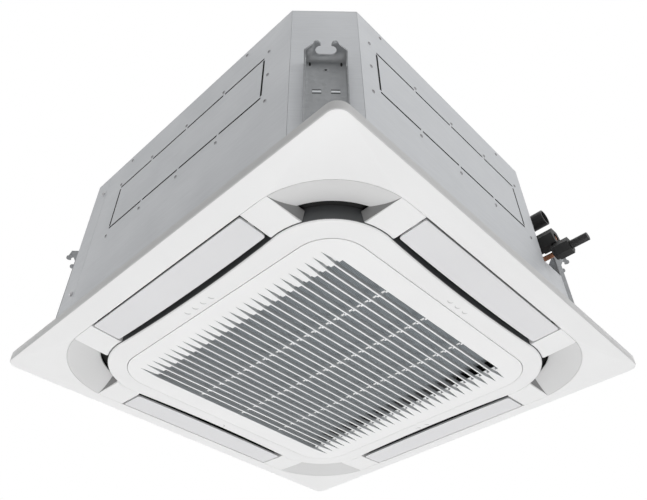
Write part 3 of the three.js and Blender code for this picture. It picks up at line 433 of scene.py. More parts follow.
def mesh_of(name, points, faces, marks=None):
    """A mesh from points in millimetres; marks gives each face its finish."""
    mesh = bpy.data.meshes.new(name)
    mesh.from_pydata([(x * MM, y * MM, z * MM) for x, y, z in points], [], faces)
    if marks:
        for face, mark in zip(mesh.polygons, marks):
            face.material_index = mark
    return mesh


def arc(centre, radius, start, end, steps):
    """Points on an arc, its angles in degrees."""
    return [(centre[0] + radius * math.cos(math.radians(start + (end - start) * i / steps)),
             centre[1] + radius * math.sin(math.radians(start + (end - start) * i / steps)))
            for i in range(steps + 1)]


def circle(radius, sides):
    return [(radius * math.cos(2 * math.pi * i / sides),
             radius * math.sin(2 * math.pi * i / sides)) for i in range(sides)]


def rectangle(x, y):
    return [(-x, -y), (x, -y), (x, y), (-x, y)]


def round_square(half, radius, bow=0.0):
    """A square with round corners; a bow draws the middle of each side inwards."""
    quarter = arc((half - radius, half - radius), radius, 0, 90, 16)
    straight = 24
    for i in range(1, straight):
        along = (half - radius) * (1 - 2 * i / straight)
        share = min(abs(along) / SCOOP_CENTRE, 1.0)
        quarter.append((along, half - bow * (1 - share ** 2)))
    loop = []
    for c, s in ((1, 0), (0, 1), (-1, 0), (0, -1)):
        loop += [(x * c - y * s, x * s + y * c) for x, y in quarter]
    return loop


def ring_mesh(name, loops, marks=None):
    """A closed skin through loops of (points, z); marks gives each band its finish."""
    count = len(loops[0][0])
    points = [(x, y, z) for loop, z in loops for x, y in loop]
    faces, finish = [], []
    for level in range(len(loops)):
        above = (level + 1) % len(loops)
        for i in range(count):
            j = (i + 1) % count
            faces.append((level * count + i, level * count + j, above * count + j,
                          above * count + i))
            finish.append(marks[level] if marks else 0)
    return cleaned(mesh_of(name, points, faces, finish))


def about_z(degrees, size=3):
    return Matrix.Rotation(math.radians(degrees), size, "Z")


def moved(mesh, x=0.0, y=0.0, turn=0.0):
    """Turns a mesh about Z by degrees, then moves it by millimetres."""
    mesh.transform(Matrix.Translation((x * MM, y * MM, 0.0)) @ about_z(turn, 4))
    return mesh


def joined(name, meshes, materials):
    """One object made of several closed meshes with the same finishes."""
    work = bmesh.new()
    for mesh in meshes:
        work.from_mesh(mesh)
        bpy.data.meshes.remove(mesh)
    whole = bpy.data.meshes.new(name)
    work.to_mesh(whole)
    work.free()
    return piece_from(name, whole, materials)


def grid_faces(rows, columns, start=0):
    """Quads of a grid of points stored row by row."""
    return [(start + r * columns + c, start + r * columns + c + 1,
             start + (r + 1) * columns + c + 1, start + (r + 1) * columns + c)
            for r in range(rows - 1) for c in range(columns - 1)]


def slab(name, lower, upper):
    """A closed block between two grids of points with the same rows and columns."""
    rows, columns = len(lower), len(lower[0])
    points = [p for row in lower for p in row] + [p for row in upper for p in row]
    size = rows * columns
    faces = grid_faces(rows, columns)
    faces += [tuple(reversed(face)) for face in grid_faces(rows, columns, size)]
    border = [(r, 0) for r in range(rows)] + [(rows - 1, c) for c in range(1, columns)]
    border += [(r, columns - 1) for r in range(rows - 2, -1, -1)]
    border += [(0, c) for c in range(columns - 2, 0, -1)]
    ids = [r * columns + c for r, c in border]
    for i, first in enumerate(ids):
        second = ids[(i + 1) % len(ids)]
        faces.append((first, first + size, second + size, second))
    return cleaned(mesh_of(name, points, faces))


def box_mesh(name, x0, x1, y0, y1, z0, z1):
    grid = [[(x0, y0), (x1, y0)], [(x0, y1), (x1, y1)]]
    return slab(name, [[(x, y, z0) for x, y in row] for row in grid],
                [[(x, y, z1) for x, y in row] for row in grid])


def bored(piece, cutter):
    """Takes the cutter's shape out of the piece."""
    take = piece.modifiers.new("bore", "BOOLEAN")
    take.operation, take.solver, take.object = "DIFFERENCE", "EXACT", cutter
    baked(piece)
    bpy.data.objects.remove(cutter)


# ------------------------------------------------------------------ trees that repeat a shape
def new_tree(name, sockets):
    tree = bpy.data.node_groups.new(name, "GeometryNodeTree")
    tree.interface.new_socket("Geometry", in_out="INPUT", socket_type="NodeSocketGeometry")
    for label, kind in sockets:
        tree.interface.new_socket(label, in_out="INPUT", socket_type=kind)
    tree.interface.new_socket("Geometry", in_out="OUTPUT", socket_type="NodeSocketGeometry")
    return tree, tree.nodes.new("NodeGroupInput"), tree.nodes.new("NodeGroupOutput")


def wire(tree, *pairs):
    for source, target in pairs:
        tree.links.new(source, target)


def finish_tree(tree, source, entry, leave, merge):
    """Ends a tree: instances made real, doubles merged where asked, and the finish set."""
    real = tree.nodes.new("GeometryNodeRealizeInstances")
    paint = tree.nodes.new("GeometryNodeSetMaterial")
    tree.links.new(source, real.inputs["Geometry"])
    last = real.outputs["Geometry"]
    if merge:
        weld = tree.nodes.new("GeometryNodeMergeByDistance")
        weld.inputs["Distance"].default_value = 1e-5
        tree.links.new(last, weld.inputs["Geometry"])
        last = weld.outputs["Geometry"]
    wire(tree, (last, paint.inputs["Geometry"]),
         (entry.outputs["Finish"], paint.inputs["Material"]),
         (paint.outputs["Geometry"], leave.inputs["Geometry"]))


def row_tree():
    """Repeats the piece's own mesh along a straight line."""
    tree, entry, leave = new_tree("row", [("Count", "NodeSocketInt"),
                                          ("Step", "NodeSocketVector"),
                                          ("Finish", "NodeSocketMaterial")])
    line = tree.nodes.new("GeometryNodeMeshLine")
    line.mode = "OFFSET"
    spread = tree.nodes.new("GeometryNodeInstanceOnPoints")
    wire(tree, (entry.outputs["Count"], line.inputs["Count"]),
         (entry.outputs["Step"], line.inputs["Offset"]),
         (line.outputs["Mesh"], spread.inputs["Points"]),
         (entry.outputs["Geometry"], spread.inputs["Instance"]))
    finish_tree(tree, spread.outputs["Instances"], entry, leave, merge=True)
    return tree


def scatter_tree():
    """Sets one shape on every point of the piece, turned by the point's own angles."""
    tree, entry, leave = new_tree("scatter", [("Shape", "NodeSocketObject"),
                                              ("Finish", "NodeSocketMaterial")])
    shape = tree.nodes.new("GeometryNodeObjectInfo")
    turns = tree.nodes.new("GeometryNodeInputNamedAttribute")
    turns.data_type = "FLOAT_VECTOR"
    turns.inputs["Name"].default_value = "turn"
    spread = tree.nodes.new("GeometryNodeInstanceOnPoints")
    wire(tree, (entry.outputs["Shape"], shape.inputs["Object"]),
         (entry.outputs["Geometry"], spread.inputs["Points"]),
         (shape.outputs["Geometry"], spread.inputs["Instance"]),
         (turns.outputs["Attribute"], spread.inputs["Rotation"]))
    finish_tree(tree, spread.outputs["Instances"], entry, leave, merge=False)
    return tree


def grown(piece, tree, **values):
    """Runs a tree on the piece and keeps its result as plain mesh."""
    modifier = piece.modifiers.new(tree.name, "NODES")
    modifier.node_group = tree
    for item in tree.interface.items_tree:
        if item.item_type == "SOCKET" and item.in_out == "INPUT" and item.name in values:
            modifier[item.identifier] = values[item.name]
    baked(piece)
    return piece


ROW = row_tree()
SCATTER = scatter_tree()


def in_a_row(name, mesh, count, step, finish):
    piece = piece_from(name, mesh, [finish])
    grown(piece, ROW, Count=count, Step=tuple(part * MM for part in step), Finish=finish)
    return piece


def scattered(name, shape, places, finish):
    """places is a list of (point in millimetres, turn in degrees about X, Y and Z)."""
    points = mesh_of(name, [place for place, _ in places], [])
    turns = points.attributes.new("turn", "FLOAT_VECTOR", "POINT")
    for slot, (_, turn) in zip(turns.data, places):
        slot.vector = [math.radians(part) for part in turn]
    pattern = piece_from(name + "_shape", shape, [finish])
    piece = piece_from(name, points, [finish])
    grown(piece, SCATTER, Shape=pattern, Finish=finish)
    bpy.data.objects.remove(pattern)
    smoothed(piece.data, 40.0)
    return piece


def turned(name, profile, sides=16):
    """A closed solid of revolution about Z; profile is (radius, z) from foot to top."""
    points = [(0.0, 0.0, profile[0][1])]
    faces = []
    for radius, z in profile:
        points += [(x, y, z) for x, y in circle(radius, sides)]
    points.append((0.0, 0.0, profile[-1][1]))
    last = len(points) - 1
    for i in range(sides):
        j = (i + 1) % sides
        faces.append((0, 1 + j, 1 + i))
        top = 1 + (len(profile) - 1) * sides
        faces.append((last, top + i, top + j))
        for level in range(len(profile) - 1):
            a, b = 1 + level * sides, 1 + (level + 1) * sides
            faces.append((a + i, a + j, b + j, b + i))
    return cleaned(mesh_of(name, points, faces))


# ------------------------------------------------------------------ trim panel
def in_trim(mesh, turn=0.0):
    return moved(mesh, TRIM_X, TRIM_Y, turn)


def panel_rim():
    """The panel's flat rim, with painted shade on its outer side."""
    outer, inner = TRIM_HALF, RIM_INNER + 0.3
    loops = [(outer, 16, 0), (outer - 12, 20, 0), (outer - 12, 20, -0.5),
             (inner, 112, -0.5), (inner, 112, -17.4), (inner + 0.15, 112.15, -17.8),
             (inner + 0.5, 112.5, -17.95), (outer - 2.2, 13.8, -12.5),
             (outer - 1.1, 14.9, -12.15), (outer - 0.35, 15.65, -11.4), (outer, 16, -10.4)]
    # the last three bands, the rim's outer side, take the painted shade
    mesh = ring_mesh("panel_rim", [(round_square(half, radius), z)
                                   for half, radius, z in loops],
                     marks=[0] * 8 + [1, 1, 1])
    piece = piece_from("panel_rim", in_trim(mesh), [WHITE, RIM_SIDE_PAINTED_SHADE])
    smoothed(piece.data, 30.0)
    return finished(piece, "casing", ["panel_frame"])


def ring_edge(y, play=0.3):
    """How far the ring's outer edge lies from the middle at a place along its left side."""
    if abs(y) <= SCOOP_CENTRE:
        return RING_HALF - RING_BOW * (1 - (y / SCOOP_CENTRE) ** 2) + play
    return SCOOP_CENTRE + math.sqrt((RING_RADIUS + play) ** 2 - (abs(y) - SCOOP_CENTRE) ** 2)


def rim_edge(y):
    """How far the rim's inner edge lies from the middle at a place along its left side."""
    centre = RIM_INNER - RIM_RADIUS
    if abs(y) <= centre:
        return RIM_INNER
    return centre + math.sqrt(RIM_RADIUS ** 2 - (abs(y) - centre) ** 2)


def swapped(rows):
    """The rows mirrored across the corner's diagonal."""
    return [[(y, x, z) for x, y, z in row] for row in rows]


def bridge_mesh(mirrored):
    """The bar between a louvre slot and the scoop, rounded over where it meets the ring."""
    rows = [0, 0.12, 0.45, 1.0, 10, 20, 30, 36, 39.7, 40.25, 40.58, BRIDGE]
    lower, upper = [], []
    for along in rows:
        y = -SLOT_END - along
        near, far = rim_edge(y), ring_edge(y, 0.5)
        width = near - far
        edge = min(along, BRIDGE - along)
        lift = 0.55 * max(0.0, 1 - edge / 0.45) ** 2
        across = [(0, 0.7), (0.12, 0.3), (0.45, 0.03), (2, 0), (width / 2, 0),
                  (width - 5, 0), (width - 3.2, 0.12), (width - 1.9, 0.55),
                  (width - 0.9, 1.25), (width - 0.3, 2.1), (width, 3.2)]
        line = [(-near + step, y, COVER_FACE - 2.5 * step / width + rise + lift)
                for step, rise in across]
        lower.append(line)
        upper.append([(x, y, COVER_BACK) for x, y, _ in line])
    if mirrored:
        lower, upper = swapped(lower), swapped(upper)
    return slab("bridge", lower, upper)


def scoop_line(share):
    """Points across the scoop at a share of the way from the rim to the outlet's lip."""
    centre = RIM_INNER - RIM_RADIUS
    lines = []
    for radius, middle in ((RIM_RADIUS, centre), (SCOOP_LIP, SCOOP_CENTRE)):
        skip = math.degrees(math.asin((SCOOP_START - middle) / radius))
        lines.append(arc((-middle, -middle), radius, 180 + skip, 270 - skip, 40))
    return [(a[0] + (b[0] - a[0]) * share, a[1] + (b[1] - a[1]) * share)
            for a, b in zip(*lines)]


def scoop_level(share):
    """How high the scoop's hollow is at a share of the way from the rim to the lip."""
    return -17.9 + 0.35 * min(1.0, share / 0.004) + SCOOP_RISE * share ** 1.5


def cheek_mesh(mirrored):
    """The slanted end wall of the scoop, from the bridge's edge up into the outlet."""
    near, far = rim_edge(SCOOP_START), ring_edge(SCOOP_START, 0.5)
    lip = SCOOP_CENTRE + math.sqrt(SCOOP_LIP ** 2 - (SCOOP_START - SCOOP_CENTRE) ** 2)
    lower, upper = [], []
    for i in range(25):
        x = near + (far - near) * i / 24
        share = min(1.0, (near - x) / (near - lip))
        rise = scoop_level(share) - COVER_FACE
        slant = CHEEK_SLANT * rise / 14.0
        line = [(-x, -SCOOP_START + 0.05 - slant * step,
                 COVER_FACE + 0.1 * (1 - step) + rise * step) for step in
                (0, 0.03, 0.1, 0.3, 0.5, 0.7, 0.85, 0.95, 1.0)]
        lower.append(line)
        upper.append([(x0, y0, z0 + 0.4 + 0.8 * min(1.0, share * 4)) for x0, y0, z0 in line])
    if mirrored:
        lower, upper = swapped(lower), swapped(upper)
    return slab("cheek", lower, upper)


def scoop_mesh():
    """The hollow shell that leads from the rim up to the corner outlet."""
    lower, upper = [], []
    shares = [0, 0.004, 0.015, 0.04, 0.08, 0.14, 0.22, 0.32, 0.44, 0.57, 0.7, 0.82, 0.92,
              0.985, 1.0]
    for share in shares:
        z = scoop_level(share) + 0.3 * max(0.0, (share - 0.98) / 0.02)
        line = scoop_line(share)
        lower.append([(x, y, z) for x, y in line])
        upper.append([(x, y, max(COVER_BACK, z + 1.2)) for x, y in line])
    return slab("scoop", lower, upper)


def corner_covers():
    """Each corner's two bridges, two slanted end walls and scoop, in one piece."""
    for i, corner in enumerate(CORNERS):
        made = ((bridge_mesh(False), 0), (bridge_mesh(True), 0), (cheek_mesh(False), 1),
                (cheek_mesh(True), 1), (scoop_mesh(), 2))
        parts = []
        for mesh, finish in made:
            for face in mesh.polygons:
                face.material_index = finish
            parts.append(in_trim(mesh, 90.0 * i))
        # the end walls and the scoop take darker copies of the white plastic as painted shade
        piece = joined(f"corner_scoop_{corner}", parts, [WHITE, CHEEK_PAINTED_SHADE, SCOOP_PAINTED_SHADE])
        smoothed(piece.data, 42.0)
        finished(piece, "casing", [f"corner_cover_{corner}"])


def surround_ring():
    """The bowed ring round the grille: white face, and painted shade on its outer wall inside
    the outlets.
    """
    profile = [(0, 1.0, 1), (0, -17.6, 1), (0, -18.3, 1), (0.2, -19.4, 0), (0.8, -20.4, 0),
               (1.8, -21.05, 0), (3.2, -21.35, 0)]
    loops, marks = [], []
    for inset, z, mark in profile:
        loops.append((round_square(RING_HALF - inset, RING_RADIUS - inset, bow=RING_BOW), z))
        marks.append(mark)
    inner = [(0.5, -22.82), (0.15, -22.7), (0, -22.35), (0, 1.0)]
    for out, z in inner:
        loops.append((round_square(RING_INNER + out, RING_INNER_RADIUS + out), z))
        marks.append(0)
    mesh = ring_mesh("surround_ring", loops, marks)
    piece = piece_from("surround_ring", in_trim(mesh), [WHITE, DUCT_PAINTED_SHADE])
    for x in (-LATCH_X, LATCH_X):
        cutter = box_mesh("pocket", x - POCKET_HALF, x + POCKET_HALF,
                          -RING_INNER - POCKET_DEPTH, -RING_INNER + 1,
                          GRILLE_BACK, GRILLE_BACK + POCKET_HEIGHT)
        bored(piece, piece_from("pocket", in_trim(cutter), [WHITE]))
    smoothed(piece.data, 38.0)
    return finished(piece, "casing", ["grille_ring"])


def ring_marks():
    """Small moulded crescents on the ring, beside each louvre, drawn greyer as painted shade.
    """
    steps, outer = 14, 4.5
    lower, upper = [], []
    for i in range(steps + 1):
        angle = math.radians(-80 + 160 * i / steps)
        thick = 0.25 + 1.5 * math.sin(math.pi * i / steps)
        row = [(radius * math.cos(angle), radius * math.sin(angle))
               for radius in (outer, outer - 0.2 * thick, outer - 0.7 * thick, outer - thick)]
        lower.append([(x, y, 0.3) for x, y in row])
        upper.append([(x, y, -0.05 if k in (0, 3) else -0.4 * math.sin(
            math.pi * (i + 0.5) / (steps + 1))) for k, (x, y) in enumerate(row)])
    shape = slab("crescent", upper, lower)
    spots = [(-216, y, 0) for y in (26.5, 12, -3, -18)]
    spots += [(x, -216.5, 35) for x in (-10.2, 4.5, 19.6)]
    spots += [(221.5, y, 180) for y in (12.5, -3)] + [(1, 221.5, -90)]
    places = []
    for x, y, turn in spots:
        level = max(abs(x), abs(y))
        z = -22.8 + 1.45 * (level - RING_INNER) / 25.0
        places.append(((x + TRIM_X, y + TRIM_Y, z + 0.02), (0, 0, turn + 45)))
    piece = scattered("ring_marks", shape, places, MARK_PAINTED_SHADE)
    return finished(piece, "casing")


# ------------------------------------------------------------------ intake grille
def slat_tile():
    """One pitch of the grille: gap with its pointed slit, ribs, and the slat above it."""
    gap = SLAT_PITCH - SLAT_WIDTH
    front, point = gap - SLIT_WIDTH, gap - 3.0
    low, high, deep = GRILLE_FACE, GRILLE_BACK, GRILLE_FACE + SLIT_DEPTH
    rib = GRILLE_FACE + RIB_STEP
    edge, tip, end = SLAT_OPEN, SLAT_TIP, SLAT_PLATE
    work = bmesh.new()
    known = {}

    def point_at(x, y, z):
        key = (round(x, 3), round(y, 3), round(z, 3))
        if key not in known:
            known[key] = work.verts.new((key[0] * MM, key[1] * MM, key[2] * MM))
        return known[key]

    def face(*corners):
        work.faces.new([point_at(*corner) for corner in corners])

    def flat(z, *corners):
        face(*[(x, y, z) for x, y in corners])

    ribs = [(x - RIB_WIDTH / 2, x + RIB_WIDTH / 2) for x in RIBS]
    stops = [x for pair in ribs for x in pair]
    inner = [-edge] + stops + [edge]
    for side in (-1, 1):
        e, t, o = side * edge, side * tip, side * end
        flat(low, (o, 0), (e, 0), (e, front), (t, point), (e, gap), (e, SLAT_PITCH),
             (o, SLAT_PITCH))
        flat(high, (o, 0), (o, SLAT_PITCH), (e, SLAT_PITCH), (e, gap), (e, 0))
        flat(deep, (t, point), (e, front), (e, gap))
        face((e, front, low), (e, front, deep), (t, point, deep), (t, point, low))
        face((t, point, low), (t, point, deep), (e, gap, deep), (e, gap, low))
        face((e, 0, low), (e, 0, high), (e, gap, high), (e, gap, deep), (e, front, deep),
             (e, front, low))
        face((o, 0, low), (o, SLAT_PITCH, low), (o, SLAT_PITCH, high), (o, 0, high))
    for z in (low, high):
        flat(z, *[(x, gap) for x in inner], (edge, SLAT_PITCH),
             *[(x, SLAT_PITCH) for x in reversed(stops)], (-edge, SLAT_PITCH))
    for x0, x1 in ribs:
        flat(rib, (x0, 0), (x1, 0), (x1, front), (x0, front))
        flat(deep, (x0, front), (x1, front), (x1, gap), (x0, gap))
        flat(high, (x0, 0), (x1, 0), (x1, gap), (x0, gap))
        face((x0, 0, low), (x1, 0, low), (x1, 0, rib), (x0, 0, rib))
        face((x0, front, rib), (x1, front, rib), (x1, front, deep), (x0, front, deep))
        for x in (x0, x1):
            face((x, 0, rib), (x, front, rib), (x, front, deep), (x, gap, deep),
                 (x, gap, high), (x, 0, high))
    for x0, x1 in zip(inner[0::2], inner[1::2]):
        near = [(x0, 0, rib)] if x0 in stops else []
        far = [(x1, 0, rib)] if x1 in stops else []
        face((x0, 0, low), (x1, 0, low), *far, (x1, 0, high), (x0, 0, high), *near)
        face((x0, gap, low), (x1, gap, low), (x1, gap, deep), (x0, gap, deep))
        face((x0, gap, deep), (x1, gap, deep), (x1, gap, high), (x0, gap, high))
    for x0, x1 in ribs:
        face((x0, gap, low), (x1, gap, low), (x1, gap, deep), (x0, gap, deep))
    mesh = bpy.data.meshes.new("slats")
    work.to_mesh(mesh)
    work.free()
    return mesh


def grille_border(first):
    """The plain plate round the slats, with a rounded outer edge."""
    end = SLAT_PLATE
    rows = [first + SLAT_PITCH * i for i in range(SLAT_GAPS + 1)]
    stops = [-end, -SLAT_OPEN] + [x for rib in RIBS for x in
                                  (rib - RIB_WIDTH / 2, rib + RIB_WIDTH / 2)]
    stops += [SLAT_OPEN, end]
    window = [(x, first) for x in stops] + [(end, y) for y in rows[1:]]
    window += [(x, rows[-1]) for x in reversed(stops[:-1])]
    window += [(-end, y) for y in reversed(rows[1:-1])]
    loops = [(0.6, GRILLE_FACE), (0.17, GRILLE_FACE + 0.17), (0, GRILLE_FACE + 0.6),
             (0, GRILLE_BACK)]
    work = bmesh.new()
    rings = []
    for inset, z in loops:
        outline = round_square(GRILLE_HALF - inset, GRILLE_RADIUS - inset)
        rings.append([work.verts.new((x * MM, y * MM, z * MM)) for x, y in outline])
    for lower, upper in zip(rings, rings[1:]):
        for i in range(len(lower)):
            j = (i + 1) % len(lower)
            work.faces.new((lower[i], lower[j], upper[j], upper[i]))
    for ring, z in ((rings[0], GRILLE_FACE), (rings[-1], GRILLE_BACK)):
        inner = [work.verts.new((x * MM, y * MM, z * MM)) for x, y in window]
        edges = []
        for loop in (ring, inner):
            for i, vertex in enumerate(loop):
                pair = (vertex, loop[(i + 1) % len(loop)])
                edges.append(work.edges.get(pair) or work.edges.new(pair))
        bmesh.ops.triangle_fill(work, use_beauty=True, edges=edges)
    mesh = bpy.data.meshes.new("border")
    work.to_mesh(mesh)
    work.free()
    return mesh


def intake_grille():
    """The slats and their border as one plate, with painted shade on the side walls in the
    gaps.
    """
    first = -((SLAT_GAPS - 1) * SLAT_PITCH + SLAT_PITCH - SLAT_WIDTH) / 2
    tile = moved(slat_tile(), 0.0, first)
    piece = in_a_row("intake_slats", tile, SLAT_GAPS, (0, SLAT_PITCH, 0), SLAT_WHITE)
    work = bmesh.new()
    work.from_mesh(piece.data)
    work.from_mesh(grille_border(first))
    bmesh.ops.remove_doubles(work, verts=work.verts, dist=5e-6)
    bmesh.ops.recalc_face_normals(work, faces=work.faces)
    weights = work.edges.layers.float.new("bevel_weight_edge")
    level = (GRILLE_FACE + 0.01) * MM
    for edge in work.edges:
        at_face = all(vertex.co.z < level for vertex in edge.verts)
        if at_face and edge.calc_face_angle(0.0) > 1.0:
            edge[weights] = 1.0
    work.to_mesh(piece.data)
    work.free()
    eased(piece, 0.35, weighted=True)
    # walls inside the gaps take the painted shade
    piece.data.materials.append(SLAT_WALL_PAINTED_SHADE)
    for face in piece.data.polygons:
        inside = max(abs(face.center.x), abs(face.center.y)) < 190 * MM
        face.material_index = 1 if inside and abs(face.normal.z) < 0.4 else 0
    moved(piece.data, TRIM_X, TRIM_Y)
    return finished(piece, "grille", ["intake_grille"])


def grille_lip():
    """The low wall on the grille's back that the filter lies against."""
    loops = []
    for inset, z in ((0, GRILLE_BACK), (0, -5.0), (0.6, -4.4), (3.4, -4.4), (4, -5.0),
                     (4, GRILLE_BACK)):
        loops.append((rectangle(190 - inset, 180 - inset), z))
    piece = piece_from("grille_lip", in_trim(ring_mesh("grille_lip", loops)), [SLAT_WHITE])
    smoothed(piece.data, 30.0)
    return finished(piece, "grille")


def filter_bars():
    """The filter's frame carries cross bars with the gauze stretched over them."""
    low, high = -3.4, -1.4
    across = box_mesh("bar", -158, 158, -170.7, -168.7, low, high)
    along = box_mesh("bar", -150.7, -148.7, -177, 177, low, high)
    pieces = [in_a_row("filter_bars_across", in_trim(across), 9, (0, 42.4, 0), FRAME_GREY),
              in_a_row("filter_bars_along", in_trim(along), 7, (49.9, 0, 0), FRAME_GREY)]
    for piece in pieces:
        smoothed(piece.data, 30.0)
        finished(piece, "grille")


def air_filter():
    """Frame round a thin gauze, both closed bodies in one piece."""
    x, y = 160.0, 179.0
    loops = []
    for inset, z in ((0, -4.0), (0, -1.4), (0.4, -1.0), (7.6, -1.0), (8, -1.4), (8, -4.0)):
        loops.append((rectangle(x - inset, y - inset), z))
    border = ring_mesh("border", loops)
    gauze = box_mesh("gauze", -x + 7, x - 7, -y + 7, y - 7, -3.9, -3.5)
    piece = joined("air_filter", [in_trim(border), in_trim(gauze)], [FRAME_GREY, FILTER_GREY])
    for face in piece.data.polygons:
        inside = all(abs(piece.data.vertices[i].co.x - TRIM_X * MM) < 0.1535
                     for i in face.vertices)
        face.material_index = 1 if inside and face.center.z < -3.0 * MM else 0
    smoothed(piece.data, 30.0)
    return finished(piece, "grille", ["air_filter"])


# ------------------------------------------------------------------ casing
def slit_boxes(side):
    """The knock-out's slits: four dashes above and below, and one at each end."""
    half = KNOCKOUT_SLIT / 2
    start = KNOCKOUT_MIDDLE[side] - KNOCKOUT_LENGTH / 2
    low = KNOCKOUT_LEVEL - KNOCKOUT_HEIGHT / 2
    high = low + KNOCKOUT_HEIGHT
    ties = (KNOCKOUT_DASHES - 1) * KNOCKOUT_TIE
    dash = (KNOCKOUT_LENGTH - ties) / KNOCKOUT_DASHES
    spans = []
    for i in range(KNOCKOUT_DASHES):
        x = start + i * (dash + KNOCKOUT_TIE)
        spans += [(x, x + dash, level - half, level + half) for level in (low, high)]
    for x in (start, start + KNOCKOUT_LENGTH):
        spans.append((x - half, x + half, low + KNOCKOUT_TIE, high - KNOCKOUT_TIE))
    boxes = [box_mesh("slit", x0, x1, -CASING - 2, -284.5, z0, z1)
             for x0, x1, z0, z1 in spans]
    return boxes


def casing_sides():
    """The four sheet sides; the cut walls of their knock-out slits carry painted shade."""
    for side in SIDES:
        piece = from_node(f"side_{side}", f"side_{side}_sheet")
        turn = SIDE_TURN[side]
        cutter = joined("slits", [moved(mesh, turn=turn) for mesh in slit_boxes(side)],
                        [CASING_PAINT])
        bored(piece, cutter)
        mesh = piece.data
        smoothed(mesh, 30.0)
        # the slit walls near the knock-outs are painted near black as painted shade
        mesh.materials.append(HOLE_PAINTED_SHADE)
        out = about_z(turn) @ Vector((0, -1, 0))
        for face in mesh.polygons:
            depth = CASING - face.center.dot(out) / MM
            level = face.center.z / MM
            if abs(face.normal.dot(out)) < 0.93 and depth < 2.0 and 150 < level < 240:
                end = abs(face.center.cross(out).z) / MM
                face.material_index = 1 if end < CUT_END - 8 else 0


def knockout_shade_sheets():
    """Near-black sheets behind the knock-outs as painted shade, seen as black through their
    slits.
    """
    for side, turn in SIDE_TURN.items():
        along = KNOCKOUT_MIDDLE[side]
        mesh = box_mesh("pad", along - 168, along + 168, -286.1, -283.8, 146, 244)
        piece = piece_from(f"knockout_pad_{side}", moved(mesh, turn=turn), [HOLE_PAINTED_SHADE])
        eased(piece, 0.3)
        finished(piece, "casing")


def on_face(turn, along, height, out=CASING):
    """A place on the side that faces -Y before the turn, and how a piece stands there."""
    return tuple(about_z(turn) @ Vector((along, -out, height))), (90, 0, turn)


def face_places(turn):
    """Where the blind rivets sit on one side, as distance along and height."""
    if turn == 0:
        return [(-207, 246), (-112, 246), (-29, 246), (53, 246), (137, 246), (-209, 138),
                (-118, 138), (-33, 138), (48, 138), (139, 138), (-208, 192), (-181, 290),
                (100, 290)]
    rows = [(y, z) for z in (138, 246) for y in (-187, -97, -16, 66, 146)]
    return rows + [(-188, 192), (-140, 290), (130, 290)]


def casing_rivets():
    """Blind rivets on all four sides, each with the end of its core drawn near black as painted
    shade.
    """
    places = [on_face(turn, -along if turn == -90 else along, height)
              for turn in (-90, 0, 90, 180) for along, height in face_places(turn)]
    head = turned("rivet", [(2.6, 0.0), (2.6, 0.35), (2.2, 0.75), (1.5, 0.9), (1.35, 0.55)],
                  14)
    piece = scattered("casing_rivets", head, places, RIVET_STEEL)
    finished(piece, "casing")
    core = turned("core", [(1.3, 0.0), (1.3, 0.62)], 10)
    piece = scattered("casing_rivet_cores", core, places, HOLE_PAINTED_SHADE)
    finished(piece, "casing")


def casing_screws():
    """Screws near the corners of the sides, and round the edge of the top."""
    places = [on_face(turn, along, height)
              for turn, ends in ((90, (-206, 206)), (180, (-206, 206)), (-90, (-202,)))
              for along in ends for height in (266, 64)]
    for x, y in ((-262, 150), (-262, -150), (262, 150), (262, 0), (-262, 0), (150, 262),
                 (-150, 262), (0, 262), (-150, -262), (0, -262), (120, -262)):
        places.append(((x, y, TOP), (0, 0, 0)))
    screw = turned("screw", [(3.6, 0.0), (3.6, 0.5), (3.2, 1.5), (2.2, 2.1), (1.0, 2.3)], 16)
    piece = scattered("casing_screws", screw, places, STEEL)
    return finished(piece, "casing")


def top_beads():
    """Pressed stiffening beads on the top plate, and a ring round the motor's fixings."""
    shapes = []
    for turn in (45, 135, 225, 315):
        lower, upper = [], []
        for i in range(25):
            x = 110 + 150 * i / 24
            end = min(x - 110, 260 - x)
            half = 9.0 * math.sqrt(max(0.0, 1 - max(0.0, 1 - end / 9.0) ** 2)) + 0.05
            row = [-1, -0.75, -0.45, 0, 0.45, 0.75, 1]
            lower.append([(x, half * k, TOP - 0.3) for k in row])
            upper.append([(x, half * k, TOP + 0.02 + 2.2 * (1 - k * k) * min(1, half / 9))
                          for k in row])
        shapes.append(moved(slab("bead", lower, upper), turn=turn))
    loops = []
    for radius, z in ((96, TOP - 0.3), (96, TOP + 0.02), (93, TOP + 1.4), (89.5, TOP + 2.2),
                      (86, TOP + 1.4), (83, TOP + 0.02), (83, TOP - 0.3)):
        loops.append((circle(radius, 72), z))
    hoop = ring_mesh("hoop", loops)
    piece = joined("top_beads", shapes + [hoop], [CASING_PAINT])
    smoothed(piece.data, 60.0)
    return finished(piece, "casing")


def drain_pan():
    """White foam pan whose underside and air ways are drawn near black as painted shade."""
    piece = from_node("drain_pan", "drain_pan_foam", FOAM)
    mesh = piece.data
    mesh.materials.append(FOAM_PAINTED_SHADE)
    for face in mesh.polygons:
        x, y, z = (part / MM for part in face.center)
        outlet = max(abs(x), abs(y)) > 228 and z < 46.5 and abs(face.normal.z) < 0.9
        outlet = outlet and max(abs(x), abs(y)) < 270
        if face.normal.z < -0.3 or outlet:
            face.material_index = 1
    return piece


# ------------------------------------------------------------------ fittings and inside
EASED = {
    "foam_liner": 1.0,
    "gas_nut": 0.6, "liquid_nut": 0.5, "liquid_tail": 0.4, "fan_nut": 0.5,
    "control_cover": 0.4, "control_box": 0.3, "control_board": 0.25, "motor_mount": 0.5,
    "latch_left": 0.8, "latch_right": 0.8, **{f"vane_motor_{side}": 0.5 for side in SIDES},
}
PLAIN = ("top_plate", *(f"corner_plate_{corner}" for corner in CORNERS), "coil",
         "gas_header", "liquid_header", "gas_pipe", "liquid_pipe", "drain_outlet",
         "drain_pump", "pump_float", "fan_motor", "motor_shaft", "turbo_fan", "bell_mouth")


